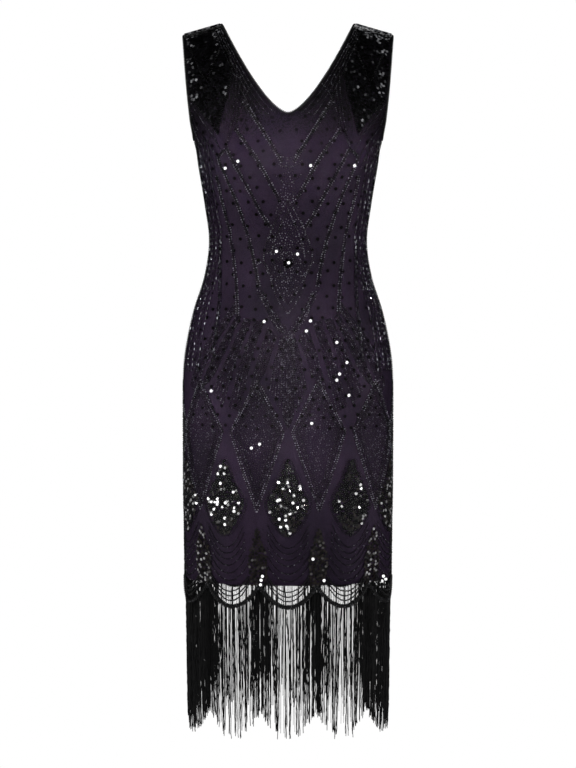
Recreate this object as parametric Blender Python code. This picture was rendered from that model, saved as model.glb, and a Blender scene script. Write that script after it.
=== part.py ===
"""A sleeveless knee-length flapper dress, worn but empty: a net overlay over a lining, with bound
edges, a hem of ten scallops and a fringe. Metres, +Z up, front towards -Y, wearer's left at +X.
The origin lies midway between the shoulder straps, level with their undersides, where they rest."""

import math
import random
from collections import namedtuple

import bmesh
import bpy
import numpy as np
from mathutils import Vector

FRONT = -1
BACK = 1

# Heights
NECK_POINT_Z = 0.010
SHOULDER_TIP_Z = -0.0055
V_FOOT_Z = -0.137
UNDERARM_Z = -0.165
WAIST_Z = -0.320
LINING_HEM_Z = -0.8375
SCALLOP_TOP_Z = -0.838
SCALLOP_DEPTH = 0.032

# Edges of the bodice, as seen from the front
NECK_HALF = 0.104
NECK_CURVE = 0.66
SHOULDER_TIP_X = 0.158
SHOULDER_ROUND = 2.0

# Cloth and trim
NET_THICKNESS = 0.001
LINING_THICKNESS = 0.001
LINING_GAP = 0.0009
SEAM_GAP = 0.0003
BINDING_RADIUS = 0.0018
BAND_HEIGHT = 0.005
BAND_THICKNESS = 0.0016
BAND_PROUD = 0.0004
FRINGE_LENGTH = 0.191
FRINGE_UNEVEN = 0.003
FRINGE_SWAY = 0.0005

# Counts
SCALLOPS_PER_PANEL = 5
STRANDS_PER_SCALLOP = 24
NET_COLUMNS = 15
LINING_COLUMNS = 8
STRAP_ROWS = 8
# Heights of a panel's rows at its side seam, between the underarm and the hem
LEVELS = (-0.19, -0.22, -0.25, -0.28, -0.31, -0.34, -0.375, -0.415, -0.46, -0.52, -0.60, -0.70, -0.79)

# Small steps of the construction
MERGE_REACH = 0.00001
SLOPE_STEP = 0.0004
FACING_DOWN = -0.4

Section = namedtuple("Section", "height half_width front back squareness")
# The filled-out form. Above the underarm the armholes cut its sides away.
SECTIONS = (
    Section(0.010, 0.192, 0.100, 0.092, 2.0),
    Section(-0.060, 0.190, 0.100, 0.092, 2.0),
    Section(-0.095, 0.183, 0.102, 0.094, 2.0),
    Section(-0.125, 0.168, 0.105, 0.096, 2.0),
    Section(-0.165, 0.1445, 0.113, 0.098, 2.1),
    Section(-0.210, 0.136, 0.122, 0.097, 2.4),
    Section(-0.265, 0.127, 0.111, 0.090, 2.3),
    Section(-0.320, 0.1207, 0.098, 0.084, 2.1),
    Section(-0.375, 0.1284, 0.100, 0.091, 2.1),
    Section(-0.430, 0.1460, 0.106, 0.106, 2.1),
    Section(-0.500, 0.1597, 0.110, 0.121, 2.1),
    Section(-0.560, 0.1617, 0.110, 0.124, 2.1),
    Section(-0.670, 0.1617, 0.108, 0.117, 2.15),
    Section(-0.800, 0.1603, 0.107, 0.110, 2.2),
    Section(-0.875, 0.1590, 0.106, 0.108, 2.2),
    Section(-1.070, 0.1565, 0.104, 0.106, 2.2),
)

NET_BLACK = (0.008, 0.007, 0.010)
PLUM = (0.035, 0.016, 0.045)
BINDING_BLACK = (0.006, 0.006, 0.007)
FRINGE_BLACK = (0.005, 0.005, 0.006)


def between(a, b, share):
    return a + (b - a) * share


def at_height(z, column):
    """One column of SECTIONS at height z, on a smooth curve through its rows."""
    above = sum(z < section.height for section in SECTIONS) - 1
    above = max(0, min(len(SECTIONS) - 2, above))
    last = len(SECTIONS) - 1
    rows = [SECTIONS[max(0, min(last, above + step))] for step in (-1, 0, 1, 2)]
    value = [getattr(row, column) for row in rows]
    step = rows[1].height - rows[2].height
    share = max(0.0, min(1.0, (rows[1].height - z) / step))
    slope_in = (value[2] - value[0]) / (rows[0].height - rows[2].height) * step
    slope_out = (value[3] - value[1]) / (rows[1].height - rows[3].height) * step
    rise = share * share * (3 - 2 * share)
    start = share * (1 - share) ** 2 * slope_in
    end = share * share * (share - 1) * slope_out
    return between(value[1], value[2], rise) + start + end


def quarter_of_hem():
    """Angles from the hem's centre to its side, and the length of cloth up to each."""
    width = at_height(SCALLOP_TOP_Z, "half_width")
    depth = at_height(SCALLOP_TOP_Z, "front")
    power = 2 / at_height(SCALLOP_TOP_Z, "squareness")
    angles = np.linspace(0, math.pi / 2, 361)
    steps = np.hypot(
        np.diff(width * np.sin(angles) ** power),
        np.diff(depth * np.cos(angles) ** power),
    )
    return angles, np.concatenate([[0], np.cumsum(steps)])


HEM_ANGLES, HEM_LENGTHS = quarter_of_hem()


def even_angle(share):
    """The angle of a share of the cloth from the centre (0) to the side seam (1)."""
    return float(np.interp(share * HEM_LENGTHS[-1], HEM_LENGTHS, HEM_ANGLES))


def shoulder_z(x):
    """The shoulder seam's slanting line."""
    slope = (SHOULDER_TIP_Z - NECK_POINT_Z) / (SHOULDER_TIP_X - NECK_HALF)
    return NECK_POINT_Z + slope * (x - NECK_HALF)


def form_y(side, x, z):
    """Depth of the form at a point of its front or back view."""
    squareness = at_height(z, "squareness")
    depth = at_height(z, "front" if side == FRONT else "back")
    across = min(1.0, x / at_height(z, "half_width"))
    up = max(0.0, min(1.0, (z - UNDERARM_Z) / (shoulder_z(x) - UNDERARM_Z)))
    in_plan = (1 - across**squareness) ** (1 / squareness)
    over_shoulder = (1 - up**SHOULDER_ROUND) ** (1 / SHOULDER_ROUND)
    return side * depth * in_plan * over_shoulder


def outward(side, x, z):
    """The form's outward direction, taken a hair inside its edges, where its slopes are finite."""
    right = abs(x)
    low = z - SLOPE_STEP
    inside = max(right - SLOPE_STEP, SLOPE_STEP)
    across = form_y(side, inside + SLOPE_STEP, low) - form_y(side, inside - SLOPE_STEP, low)
    up = form_y(side, inside, low + SLOPE_STEP) - form_y(side, inside, low - SLOPE_STEP)
    direction = Vector((-side * across, side * 2 * SLOPE_STEP, -side * up))
    if right < SLOPE_STEP:
        direction.x = 0
    if abs(form_y(side, right, z)) < SLOPE_STEP:
        direction.y = 0
    if x < 0:
        direction.x = -direction.x
    return direction.normalized()


def strap_point(side, share, fall):
    """A point of the bodice, share 0 at the neck edge and 1 at the armhole edge, fall 0 at the
    shoulder seam and 1 on the line from the V's foot to the underarm."""
    underarm_x = at_height(UNDERARM_Z, "half_width")

    def height(x):
        low = between(V_FOOT_Z, UNDERARM_Z, x / underarm_x)
        return between(shoulder_z(x), low, fall)

    ends = (NECK_HALF * (1 - fall) ** NECK_CURVE, between(SHOULDER_TIP_X, underarm_x, fall))
    widths = [at_height(height(x), "half_width") for x in ends]
    angles = [math.asin(min(1.0, x / width)) for x, width in zip(ends, widths)]
    angle = between(*angles, even_angle(share) / (math.pi / 2))
    x = between(*widths, share) * math.sin(angle)
    return Vector((x, form_y(side, x, height(x)), height(x)))


def skirt_point(side, share, level):
    """A point of the dress below the underarm. Rows rise to the V's foot at first."""
    lift = max(0.0, (level - WAIST_Z) / (UNDERARM_Z - WAIST_Z)) ** 2
    width = at_height(level, "half_width")
    x = width * math.sin(even_angle(share)) ** (2 / at_height(level, "squareness"))
    z = level + lift * (V_FOOT_Z - UNDERARM_Z) * (1 - x / width)
    return Vector((x, form_y(side, x, z), z))


def scallop_z(share):
    """The overlay's hem at a share of the cloth from the centre to the side seam."""
    place = (share * SCALLOPS_PER_PANEL / 2 + 0.5) % 1.0
    return SCALLOP_TOP_Z - SCALLOP_DEPTH * (1 - (2 * place - 1) ** 2)


def panel_point(side, share, row, hem):
    """A point of a panel's half, row 0 being its shoulder seam and the last row its hem."""
    if row <= STRAP_ROWS:
        return strap_point(side, share, (1 - math.cos(math.pi * row / STRAP_ROWS)) / 2)
    below = row - STRAP_ROWS - 1
    level = LEVELS[below] if below < len(LEVELS) else hem(share)
    return skirt_point(side, share, level)


def finish(name, colour, roughness, sheen=0.0):
    material = bpy.data.materials.new(name)
    material.use_nodes = True
    shader = material.node_tree.nodes["Principled BSDF"]
    shader.inputs["Base Color"].default_value = (*colour, 1)
    shader.inputs["Roughness"].default_value = roughness
    shader.inputs["Metallic"].default_value = 0.0
    shader.inputs["Sheen Weight"].default_value = sheen
    return material


def place(name, data, material):
    data.materials.append(material)
    piece = bpy.data.objects.new(name, data)
    dress.objects.link(piece)
    return piece


def mesh_piece(name, shape, material):
    mesh = bpy.data.meshes.new(name)
    shape.to_mesh(mesh)
    shape.free()
    return place(name, mesh, material)


def give_wall(shape, side, inset, thickness):
    """Sets an open sheet in from the form, and closes it with a second one, deeper by its wall."""
    facing = {tuple(vert.co): outward(side, vert.co.x, vert.co.z) for vert in shape.verts}
    sheet = shape.verts[:] + shape.edges[:] + shape.faces[:]
    made = bmesh.ops.extrude_face_region(shape, geom=sheet, use_keep_orig=True)
    deeper = set(made["geom"])
    for vert in shape.verts:
        depth = inset + (thickness if vert in deeper else 0.0)
        vert.co -= facing[tuple(vert.co)] * depth
    for vert in shape.verts:
        vert.co.y += side * SEAM_GAP / 2
    bmesh.ops.recalc_face_normals(shape, faces=shape.faces)


def panel(name, side, columns, hem, inset, thickness, material):
    """A front or back from shoulder to hem: half a sheet, mirrored, and given its wall."""
    rows = STRAP_ROWS + len(LEVELS) + 1
    shape = bmesh.new()
    bmesh.ops.create_grid(shape, x_segments=columns, y_segments=rows, size=1)
    for vert in shape.verts:
        share = round((vert.co.x + 1) / 2 * columns) / columns
        row = round((1 - vert.co.y) / 2 * rows)
        vert.co = panel_point(side, share, row, hem)
    half = shape.verts[:] + shape.edges[:] + shape.faces[:]
    bmesh.ops.mirror(shape, geom=half, axis="X", merge_dist=MERGE_REACH)
    give_wall(shape, side, inset, thickness)
    return mesh_piece(name, shape, material)


def bodice_edge(side, share, mirror):
    """An edge's points from the lowest to the shoulder, each with its way out of the cloth's edge
    and out of its face."""
    points = [panel_point(side, share, row, scallop_z) for row in range(STRAP_ROWS, -1, -1)]
    edge = [(point, outward(side, point.x, point.z)) for point in points]
    if mirror:
        return [(Vector((-p.x, p.y, p.z)), Vector((-n.x, n.y, n.z))) for p, n in edge]
    return edge


def loop_binding(name, edge, cloth_side, material):
    """A rolled binding just beyond a closed edge. cloth_side is 1 where the cloth lies to the left
    of the edge's way round, seen from outside, and -1 to its right."""
    reach = BINDING_RADIUS + SEAM_GAP
    depth = (NET_THICKNESS + LINING_GAP + LINING_THICKNESS) / 2
    curve = bpy.data.curves.new(name, "CURVE")
    curve.dimensions = "3D"
    curve.bevel_depth = BINDING_RADIUS
    curve.bevel_resolution = 1
    spline = curve.splines.new("POLY")
    spline.points.add(len(edge) - 1)
    spline.use_cyclic_u = True
    for i, (point, face) in enumerate(edge):
        along = (edge[(i + 1) % len(edge)][0] - edge[i - 1][0]).normalized()
        away = along.cross(face).normalized() * cloth_side
        spline.points[i].co = (*(point + away * reach - face * depth), 1)
    return place(name, curve, material)


def neck_binding(material):
    """Round the whole neckline: up the left of the front, down the back, and up and down again."""
    left_front = bodice_edge(FRONT, 0, mirror=False)
    left_back = bodice_edge(BACK, 0, mirror=False)[:-1][::-1]
    right_back = bodice_edge(BACK, 0, mirror=True)[1:]
    right_front = bodice_edge(FRONT, 0, mirror=True)[1:-1][::-1]
    edge = left_front + left_back + right_back + right_front
    return loop_binding("neck_binding", edge, -1, material)


def armhole_binding(name, mirror, material):
    """From the underarm up the front to the shoulder, and down the back."""
    front = bodice_edge(FRONT, 1, mirror)
    back = bodice_edge(BACK, 1, mirror)[1:-1][::-1]
    return loop_binding(name, front + back, -1 if mirror else 1, material)


def fringe(name, side, number, material, chance):
    """One scallop's beaded edge, with its strands drawn down from every second face beneath it."""
    columns = 2 * STRANDS_PER_SCALLOP + 1
    middle = SCALLOPS_PER_PANEL // 2
    shape = bmesh.new()
    bmesh.ops.create_grid(shape, x_segments=columns, y_segments=1, size=1)
    trim = SEAM_GAP / 2 / HEM_LENGTHS[-1]
    half = 1 / SCALLOPS_PER_PANEL - trim
    for vert in shape.verts:
        share = (number - middle) * 2 / SCALLOPS_PER_PANEL + vert.co.x * half
        top = scallop_z(abs(share)) - SEAM_GAP
        level = top if vert.co.y > 0 else top - BAND_HEIGHT
        vert.co = skirt_point(side, abs(share), level)
        vert.co.x *= 1 if share > 0 else -1
    give_wall(shape, side, -BAND_PROUD, BAND_THICKNESS)
    shape.normal_update()
    beneath = [face for face in shape.faces if face.normal.z < FACING_DOWN]
    beneath.sort(key=lambda face: face.calc_center_median().x)
    made = bmesh.ops.extrude_discrete_faces(shape, faces=beneath[1::2])
    for face in made["faces"]:
        length = FRINGE_LENGTH + chance.uniform(-FRINGE_UNEVEN, FRINGE_UNEVEN)
        foot = face.calc_center_median().z - length
        sway = Vector([chance.uniform(-FRINGE_SWAY, FRINGE_SWAY) for _ in range(2)] + [0])
        for vert in face.verts:
            vert.co.z = foot
            vert.co += sway
    return mesh_piece(name, shape, material)


for leftover in list(bpy.data.objects):
    bpy.data.objects.remove(leftover)
dress = bpy.data.collections.new("flapper_dress")
bpy.context.scene.collection.children.link(dress)

net = finish("black_net", NET_BLACK, 0.6)
lining = finish("plum_lining", PLUM, 0.45, sheen=0.3)
binding = finish("black_binding", BINDING_BLACK, 0.5)
strands = finish("black_fringe", FRINGE_BLACK, 0.55)
lining_inset = NET_THICKNESS + LINING_GAP

for word, facing in (("front", FRONT), ("back", BACK)):
    panel(f"overlay_{word}", facing, NET_COLUMNS, scallop_z, 0, NET_THICKNESS, net)
    panel(
        f"lining_{word}", facing, LINING_COLUMNS, lambda share: LINING_HEM_Z,
        lining_inset, LINING_THICKNESS, lining,
    )
    uneven = random.Random(word)
    for scallop in range(SCALLOPS_PER_PANEL):
        fringe(f"fringe_{word}_{scallop + 1}", facing, scallop, strands, uneven)
neck_binding(binding)
armhole_binding("armhole_binding_left", False, binding)
armhole_binding("armhole_binding_right", True, binding)
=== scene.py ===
"""Looks of a sleeveless knee-length flapper dress, worn but empty: a plum satin lining under a
black net that is beaded and sequinned all over, bound edges, and a fringe on a scalloped hem.
Metres, +Z up, the front towards -Y and the wearer's left at +X."""

import math
from collections import namedtuple

import bmesh
import bpy
import numpy as np
from mathutils import Matrix, Vector


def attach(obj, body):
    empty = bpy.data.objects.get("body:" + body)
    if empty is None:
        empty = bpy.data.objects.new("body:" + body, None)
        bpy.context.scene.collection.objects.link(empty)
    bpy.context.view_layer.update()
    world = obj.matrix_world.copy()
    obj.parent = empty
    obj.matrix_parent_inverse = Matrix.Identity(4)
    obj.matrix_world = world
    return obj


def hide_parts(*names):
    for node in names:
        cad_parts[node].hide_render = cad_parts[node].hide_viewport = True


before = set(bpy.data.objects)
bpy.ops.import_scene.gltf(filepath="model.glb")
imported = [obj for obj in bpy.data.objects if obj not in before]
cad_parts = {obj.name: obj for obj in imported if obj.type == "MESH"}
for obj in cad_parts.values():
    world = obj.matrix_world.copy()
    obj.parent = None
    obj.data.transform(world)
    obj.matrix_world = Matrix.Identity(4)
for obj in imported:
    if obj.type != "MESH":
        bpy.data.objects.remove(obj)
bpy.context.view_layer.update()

# ---------------------------------------------------------------------------------------------
# Camera
# A long lens straight in front of the dress, level with its waist and tipped down a little.

CAMERA_PLACE = Vector((0.0, -2.6, -0.42))
CAMERA_AIM = Vector((0.0, 0.0, -0.5405))
SENSOR_WIDTH = 36
FOCAL_LENGTH = 78.8


def add_object(name, data):
    """A new object in the scene."""
    made = bpy.data.objects.new(name, data)
    bpy.context.scene.collection.objects.link(made)
    return made


def aim_from(made, place, target):
    """Puts a camera or a lamp at a place and turns it to a target."""
    made.location = place
    made.rotation_euler = (Vector(target) - Vector(place)).to_track_quat("-Z", "Y").to_euler()


lens = bpy.data.cameras.new("camera")
lens.sensor_width = SENSOR_WIDTH
lens.lens = FOCAL_LENGTH
camera = add_object("camera", lens)
aim_from(camera, CAMERA_PLACE, CAMERA_AIM)
bpy.context.scene.camera = camera

# ---------------------------------------------------------------------------------------------
# Lining
# A straight slip of plum polyester satin, a front and a back joined at the sides and shoulders.
# It fills out over the figure, creases softly at the waist and falls in shallow flutes to its hem.

FRONT = -1
BACK = 1
SIDES = (("front", FRONT), ("back", BACK))
NECK_POINT_Z = 0.010
SHOULDER_TIP_Z = -0.0055
V_FOOT_Z = -0.137
UNDERARM_Z = -0.165
WAIST_Z = -0.320
LINING_HEM_Z = -0.8375
SCALLOP_TOP_Z = -0.838
SCALLOP_DEPTH = 0.032
SCALLOPS = 5
NECK_HALF = 0.104
NECK_CURVE = 0.66
SHOULDER_TIP_X = 0.158
SHOULDER_ROUND = 2.0
LINING_INSET = 0.0010
LINING_THICKNESS = 0.0008
SEAM_GAP = 0.0003
SLOPE_STEP = 0.0004
WELD_DISTANCE = 1e-6
HEM_STEPS = 361
# Slopes and rows are taken within this share of the form's half width
WIDTH_SHARE = 0.9995
STRAP_ROWS = 24
SKIRT_ROWS = 60
HALF_PANEL_COLUMNS = 30

Section = namedtuple("Section", "height half_width front back squareness")
# The filled-out form, from the tops of the straps to the fringe's ends
SECTIONS = (
    Section(0.010, 0.192, 0.100, 0.092, 2.0),
    Section(-0.060, 0.190, 0.100, 0.092, 2.0),
    Section(-0.095, 0.183, 0.102, 0.094, 2.0),
    Section(-0.125, 0.168, 0.105, 0.096, 2.0),
    Section(-0.165, 0.1445, 0.113, 0.098, 2.1),
    Section(-0.210, 0.136, 0.122, 0.097, 2.4),
    Section(-0.265, 0.127, 0.111, 0.090, 2.3),
    Section(-0.320, 0.1207, 0.098, 0.084, 2.1),
    Section(-0.375, 0.1284, 0.100, 0.091, 2.1),
    Section(-0.430, 0.1460, 0.106, 0.106, 2.1),
    Section(-0.500, 0.1597, 0.110, 0.121, 2.1),
    Section(-0.560, 0.1617, 0.110, 0.124, 2.1),
    Section(-0.670, 0.1617, 0.108, 0.117, 2.15),
    Section(-0.800, 0.1603, 0.107, 0.110, 2.2),
    Section(-0.875, 0.1590, 0.106, 0.108, 2.2),
    Section(-1.070, 0.1565, 0.104, 0.106, 2.2),
)
# A height for every millimetre
FINE_HEIGHTS = np.linspace(SECTIONS[-1].height, SECTIONS[0].height, 1081)

Crease = namedtuple("Crease", "top_across top foot_across foot width rise")
# Soft ridges and troughs (rise below 0), in metres of cloth from the centre and of height
CREASES = {
    FRONT: (
        (-0.155, -0.560, -0.165, -0.872, 0.013, 0.0024),
        (-0.125, -0.620, -0.130, -0.872, 0.011, -0.0022),
        (-0.082, -0.600, -0.088, -0.872, 0.015, 0.0026),
        (-0.048, -0.640, -0.050, -0.872, 0.011, -0.0022),
        (0.016, -0.590, 0.020, -0.872, 0.014, 0.0026),
        (0.050, -0.660, 0.052, -0.872, 0.011, -0.0022),
        (0.092, -0.610, 0.088, -0.872, 0.014, 0.0022),
        (0.128, -0.650, 0.130, -0.872, 0.011, -0.0020),
        (0.165, -0.570, 0.172, -0.872, 0.013, 0.0024),
        (-0.190, -0.300, -0.070, -0.318, 0.008, -0.0017),
        (-0.195, -0.338, -0.105, -0.330, 0.007, -0.0014),
        (0.190, -0.306, 0.080, -0.322, 0.008, -0.0017),
        (0.195, -0.345, 0.100, -0.335, 0.007, -0.0014),
        (-0.072, -0.225, -0.066, -0.420, 0.012, 0.0018),
        (0.078, -0.230, 0.066, -0.400, 0.012, 0.0018),
        (-0.115, -0.190, -0.120, -0.300, 0.010, -0.0014),
        (0.118, -0.190, 0.122, -0.300, 0.010, -0.0014),
        (-0.030, -0.205, 0.034, -0.203, 0.010, 0.0012),
    ),
    BACK: (
        (-0.150, -0.560, -0.160, -0.872, 0.013, 0.0024),
        (-0.112, -0.620, -0.116, -0.872, 0.011, -0.0022),
        (-0.070, -0.590, -0.075, -0.872, 0.015, 0.0026),
        (-0.028, -0.640, -0.030, -0.872, 0.011, -0.0022),
        (0.012, -0.600, 0.010, -0.872, 0.014, 0.0024),
        (0.055, -0.630, 0.058, -0.872, 0.011, -0.0022),
        (0.100, -0.590, 0.104, -0.872, 0.014, 0.0026),
        (0.150, -0.600, 0.156, -0.872, 0.012, -0.0020),
        (-0.180, -0.345, -0.040, -0.352, 0.009, -0.0020),
        (0.180, -0.352, 0.030, -0.346, 0.009, -0.0020),
        (-0.120, -0.372, 0.130, -0.370, 0.010, 0.0014),
        (-0.085, -0.215, -0.060, -0.320, 0.012, -0.0016),
        (0.085, -0.215, 0.060, -0.320, 0.012, -0.0016),
    ),
}


def between(a, b, share):
    return a + (b - a) * share


def smooth_column(name):
    """One column of SECTIONS on a smooth curve through its rows, read at FINE_HEIGHTS."""
    heights = np.array([section.height for section in SECTIONS[::-1]])
    values = np.array([getattr(section, name) for section in SECTIONS[::-1]])
    wide_heights = np.pad(heights, 1, "edge")
    wide_values = np.pad(values, 1, "edge")
    slopes = (wide_values[2:] - wide_values[:-2]) / (wide_heights[2:] - wide_heights[:-2])
    row = np.clip(np.searchsorted(heights, FINE_HEIGHTS) - 1, 0, len(heights) - 2)
    step = heights[row + 1] - heights[row]
    share = (FINE_HEIGHTS - heights[row]) / step
    start = share * (1 - share) ** 2 * slopes[row] * step
    end = share * share * (share - 1) * slopes[row + 1] * step
    rise = share * share * (3 - 2 * share)
    return between(values[row], values[row + 1], rise) + start + end


COLUMNS = {name: smooth_column(name) for name in Section._fields[1:]}


def at_height(z, column):
    return np.interp(z, FINE_HEIGHTS, COLUMNS[column])


def quarter_of_hem():
    """Angles from the hem's centre to its side, and the length of cloth up to each."""
    width = at_height(SCALLOP_TOP_Z, "half_width")
    depth = at_height(SCALLOP_TOP_Z, "front")
    power = 2 / at_height(SCALLOP_TOP_Z, "squareness")
    angles = np.linspace(0, math.pi / 2, HEM_STEPS)
    steps = np.hypot(
        np.diff(width * np.sin(angles) ** power), np.diff(depth * np.cos(angles) ** power)
    )
    return angles, np.concatenate([[0], np.cumsum(steps)])


HEM_ANGLES, HEM_LENGTHS = quarter_of_hem()
HALF_HEM = HEM_LENGTHS[-1]


def even_angle(share):
    """The angle of a share of the cloth from the centre (0) to the side seam (1)."""
    return np.interp(np.abs(share) * HALF_HEM, HEM_LENGTHS, HEM_ANGLES)


def across(share, z):
    """How far out from the centre a share of the cloth lies, at height z."""
    power = 2 / at_height(z, "squareness")
    return np.sign(share) * at_height(z, "half_width") * np.sin(even_angle(share)) ** power


def share_of(x, z):
    """The share of the cloth from the centre at which x lies, at height z, with its sign."""
    out = np.clip(np.abs(x) / at_height(z, "half_width"), 0, 1)
    angle = np.arcsin(out ** (at_height(z, "squareness") / 2))
    return np.sign(x) * np.interp(angle, HEM_ANGLES, HEM_LENGTHS) / HALF_HEM


def shoulder_z(x):
    """The shoulder seam's slanting line."""
    slope = (SHOULDER_TIP_Z - NECK_POINT_Z) / (SHOULDER_TIP_X - NECK_HALF)
    return NECK_POINT_Z + slope * (np.abs(x) - NECK_HALF)


def form_y(side, x, z):
    """Depth of the form at a point of its front or back view."""
    squareness = at_height(z, "squareness")
    depth = at_height(z, "front" if side == FRONT else "back")
    out = np.minimum(1.0, np.abs(x) / at_height(z, "half_width"))
    up = np.clip((z - UNDERARM_Z) / (shoulder_z(x) - UNDERARM_Z), 0, 1)
    in_plan = (1 - out**squareness) ** (1 / squareness)
    over_shoulder = (1 - up**SHOULDER_ROUND) ** (1 / SHOULDER_ROUND)
    return side * depth * in_plan * over_shoulder


def outward(side, x, z):
    """The form's outward directions, taken a hair inside its edges, where its slopes are finite."""
    x, z = np.broadcast_arrays(np.asarray(x, float), np.asarray(z, float))
    step = SLOPE_STEP
    low = z - step
    right = np.clip(np.abs(x), step, None)
    right = np.minimum(right, at_height(low, "half_width") * WIDTH_SHARE) - step
    slope_x = form_y(side, right + step, low) - form_y(side, right - step, low)
    slope_z = form_y(side, right, low + step) - form_y(side, right, low - step)
    made = np.stack([-side * slope_x, np.full(x.shape, side * 2 * step), -side * slope_z], -1)
    made[..., 0] *= np.where(x < 0, -1, 1)
    made[..., 0] *= np.abs(x) > step
    made[..., 1] *= np.abs(form_y(side, np.abs(x), z)) > step
    return made / np.linalg.norm(made, axis=-1, keepdims=True)


def crease_rise(side, x, z):
    """How far the cloth stands out from the plain form."""
    cloth = share_of(x, z) * HALF_HEM
    rise = np.zeros(np.shape(cloth))
    for crease in map(Crease._make, CREASES[side]):
        run = np.array([crease.foot_across - crease.top_across, crease.foot - crease.top])
        from_top = np.stack([cloth - crease.top_across, z - crease.top], -1)
        along = from_top @ run / (run @ run)
        held = np.clip(along, 0, 1)
        away = np.linalg.norm(from_top - held[..., None] * run, axis=-1)
        # A crease comes in over its first third
        fade = np.sin(math.pi / 2 * np.clip(held * 3, 0, 1)) ** 2
        rise += crease.rise * fade * np.exp(-((away / crease.width) ** 2))
    return rise


def on_dress(side, x, z, lift=0.0):
    """Points of the net's face, or lifted off it, and their outward directions."""
    x, z = np.broadcast_arrays(np.asarray(x, float), np.asarray(z, float))
    out = outward(side, x, z)
    points = np.stack([x, form_y(side, x, z) + side * SEAM_GAP / 2, z], -1)
    return points + out * (crease_rise(side, x, z) + lift)[..., None], out


def strap_place(share, fall):
    """(x, z) of the bodice: share 0 at the neck edge and 1 at the armhole edge, fall 0 at the
    shoulder seam and 1 on the line from the V's foot to the underarm."""
    underarm_x = at_height(UNDERARM_Z, "half_width")

    def height(x):
        return between(shoulder_z(x), between(V_FOOT_Z, UNDERARM_Z, x / underarm_x), fall)

    neck = NECK_HALF * (1 - fall) ** NECK_CURVE
    armhole = between(SHOULDER_TIP_X, underarm_x, fall)
    neck_width = at_height(height(neck), "half_width")
    arm_width = at_height(height(armhole), "half_width")
    neck_angle = np.arcsin(np.minimum(1, neck / neck_width))
    arm_angle = np.arcsin(np.minimum(1, armhole / arm_width))
    angle = between(neck_angle, arm_angle, even_angle(share) / (math.pi / 2))
    x = between(neck_width, arm_width, share) * np.sin(angle)
    return x, height(x)


def skirt_place(share, level):
    """(x, z) of the dress below the underarm. Rows rise to the V's foot at first."""
    lift = np.clip((level - WAIST_Z) / (UNDERARM_Z - WAIST_Z), 0, None) ** 2
    x = np.abs(across(share, level))
    out = x / at_height(level, "half_width")
    return x, level + lift * (V_FOOT_Z - UNDERARM_Z) * (1 - out)


def scallop_z(share):
    """The overlay's hem at a share of the cloth from the centre to the side seam."""
    place = (np.abs(share) * SCALLOPS / 2 + 0.5) % 1.0
    return SCALLOP_TOP_Z - SCALLOP_DEPTH * (1 - (2 * place - 1) ** 2)


def hex_colour(text):
    """An sRGB hex colour as linear values."""
    parts = [int(text[i : i + 2], 16) / 255 for i in (1, 3, 5)]
    linear = [c / 12.92 if c <= 0.04045 else ((c + 0.055) / 1.055) ** 2.4 for c in parts]
    return (*linear, 1.0)


def add_node(material, kind, values=None, links=None, stops=()):
    """A node with its values and links. A key that the node has as a property sets it, and any
    other key is an input's name or number. A link is a node and the name of its output, and a
    stop is a place on a colour ramp and its hex colour."""
    made = material.node_tree.nodes.new("ShaderNode" + kind)
    for key, value in (values or {}).items():
        if isinstance(key, str) and hasattr(made, key):
            setattr(made, key, value)
        else:
            made.inputs[key].default_value = value
    for key, (source, output) in (links or {}).items():
        material.node_tree.links.new(source.outputs[output], made.inputs[key])
    for number, (place, colour) in enumerate(stops):
        ramp = made.color_ramp.elements
        stop = ramp[number] if number < len(ramp) else ramp.new(place)
        stop.position = place
        stop.color = hex_colour(colour)
    return made


def new_material(name, values):
    """A material whose Principled shader has these values."""
    material = bpy.data.materials.new(name)
    material.use_nodes = True
    shader = material.node_tree.nodes["Principled BSDF"]
    for key, value in values.items():
        shader.inputs[key].default_value = value
    return material, shader


def join(material, source, output, target, socket):
    material.node_tree.links.new(source.outputs[output], target.inputs[socket])


def finish_piece(name, mesh, material, slot, *replaced):
    """A finished mesh as a piece of the dress."""
    mesh.materials.append(material)
    piece = add_object(name, mesh)
    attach(piece, "root")
    if replaced:
        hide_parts(*replaced)
    return piece


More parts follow.
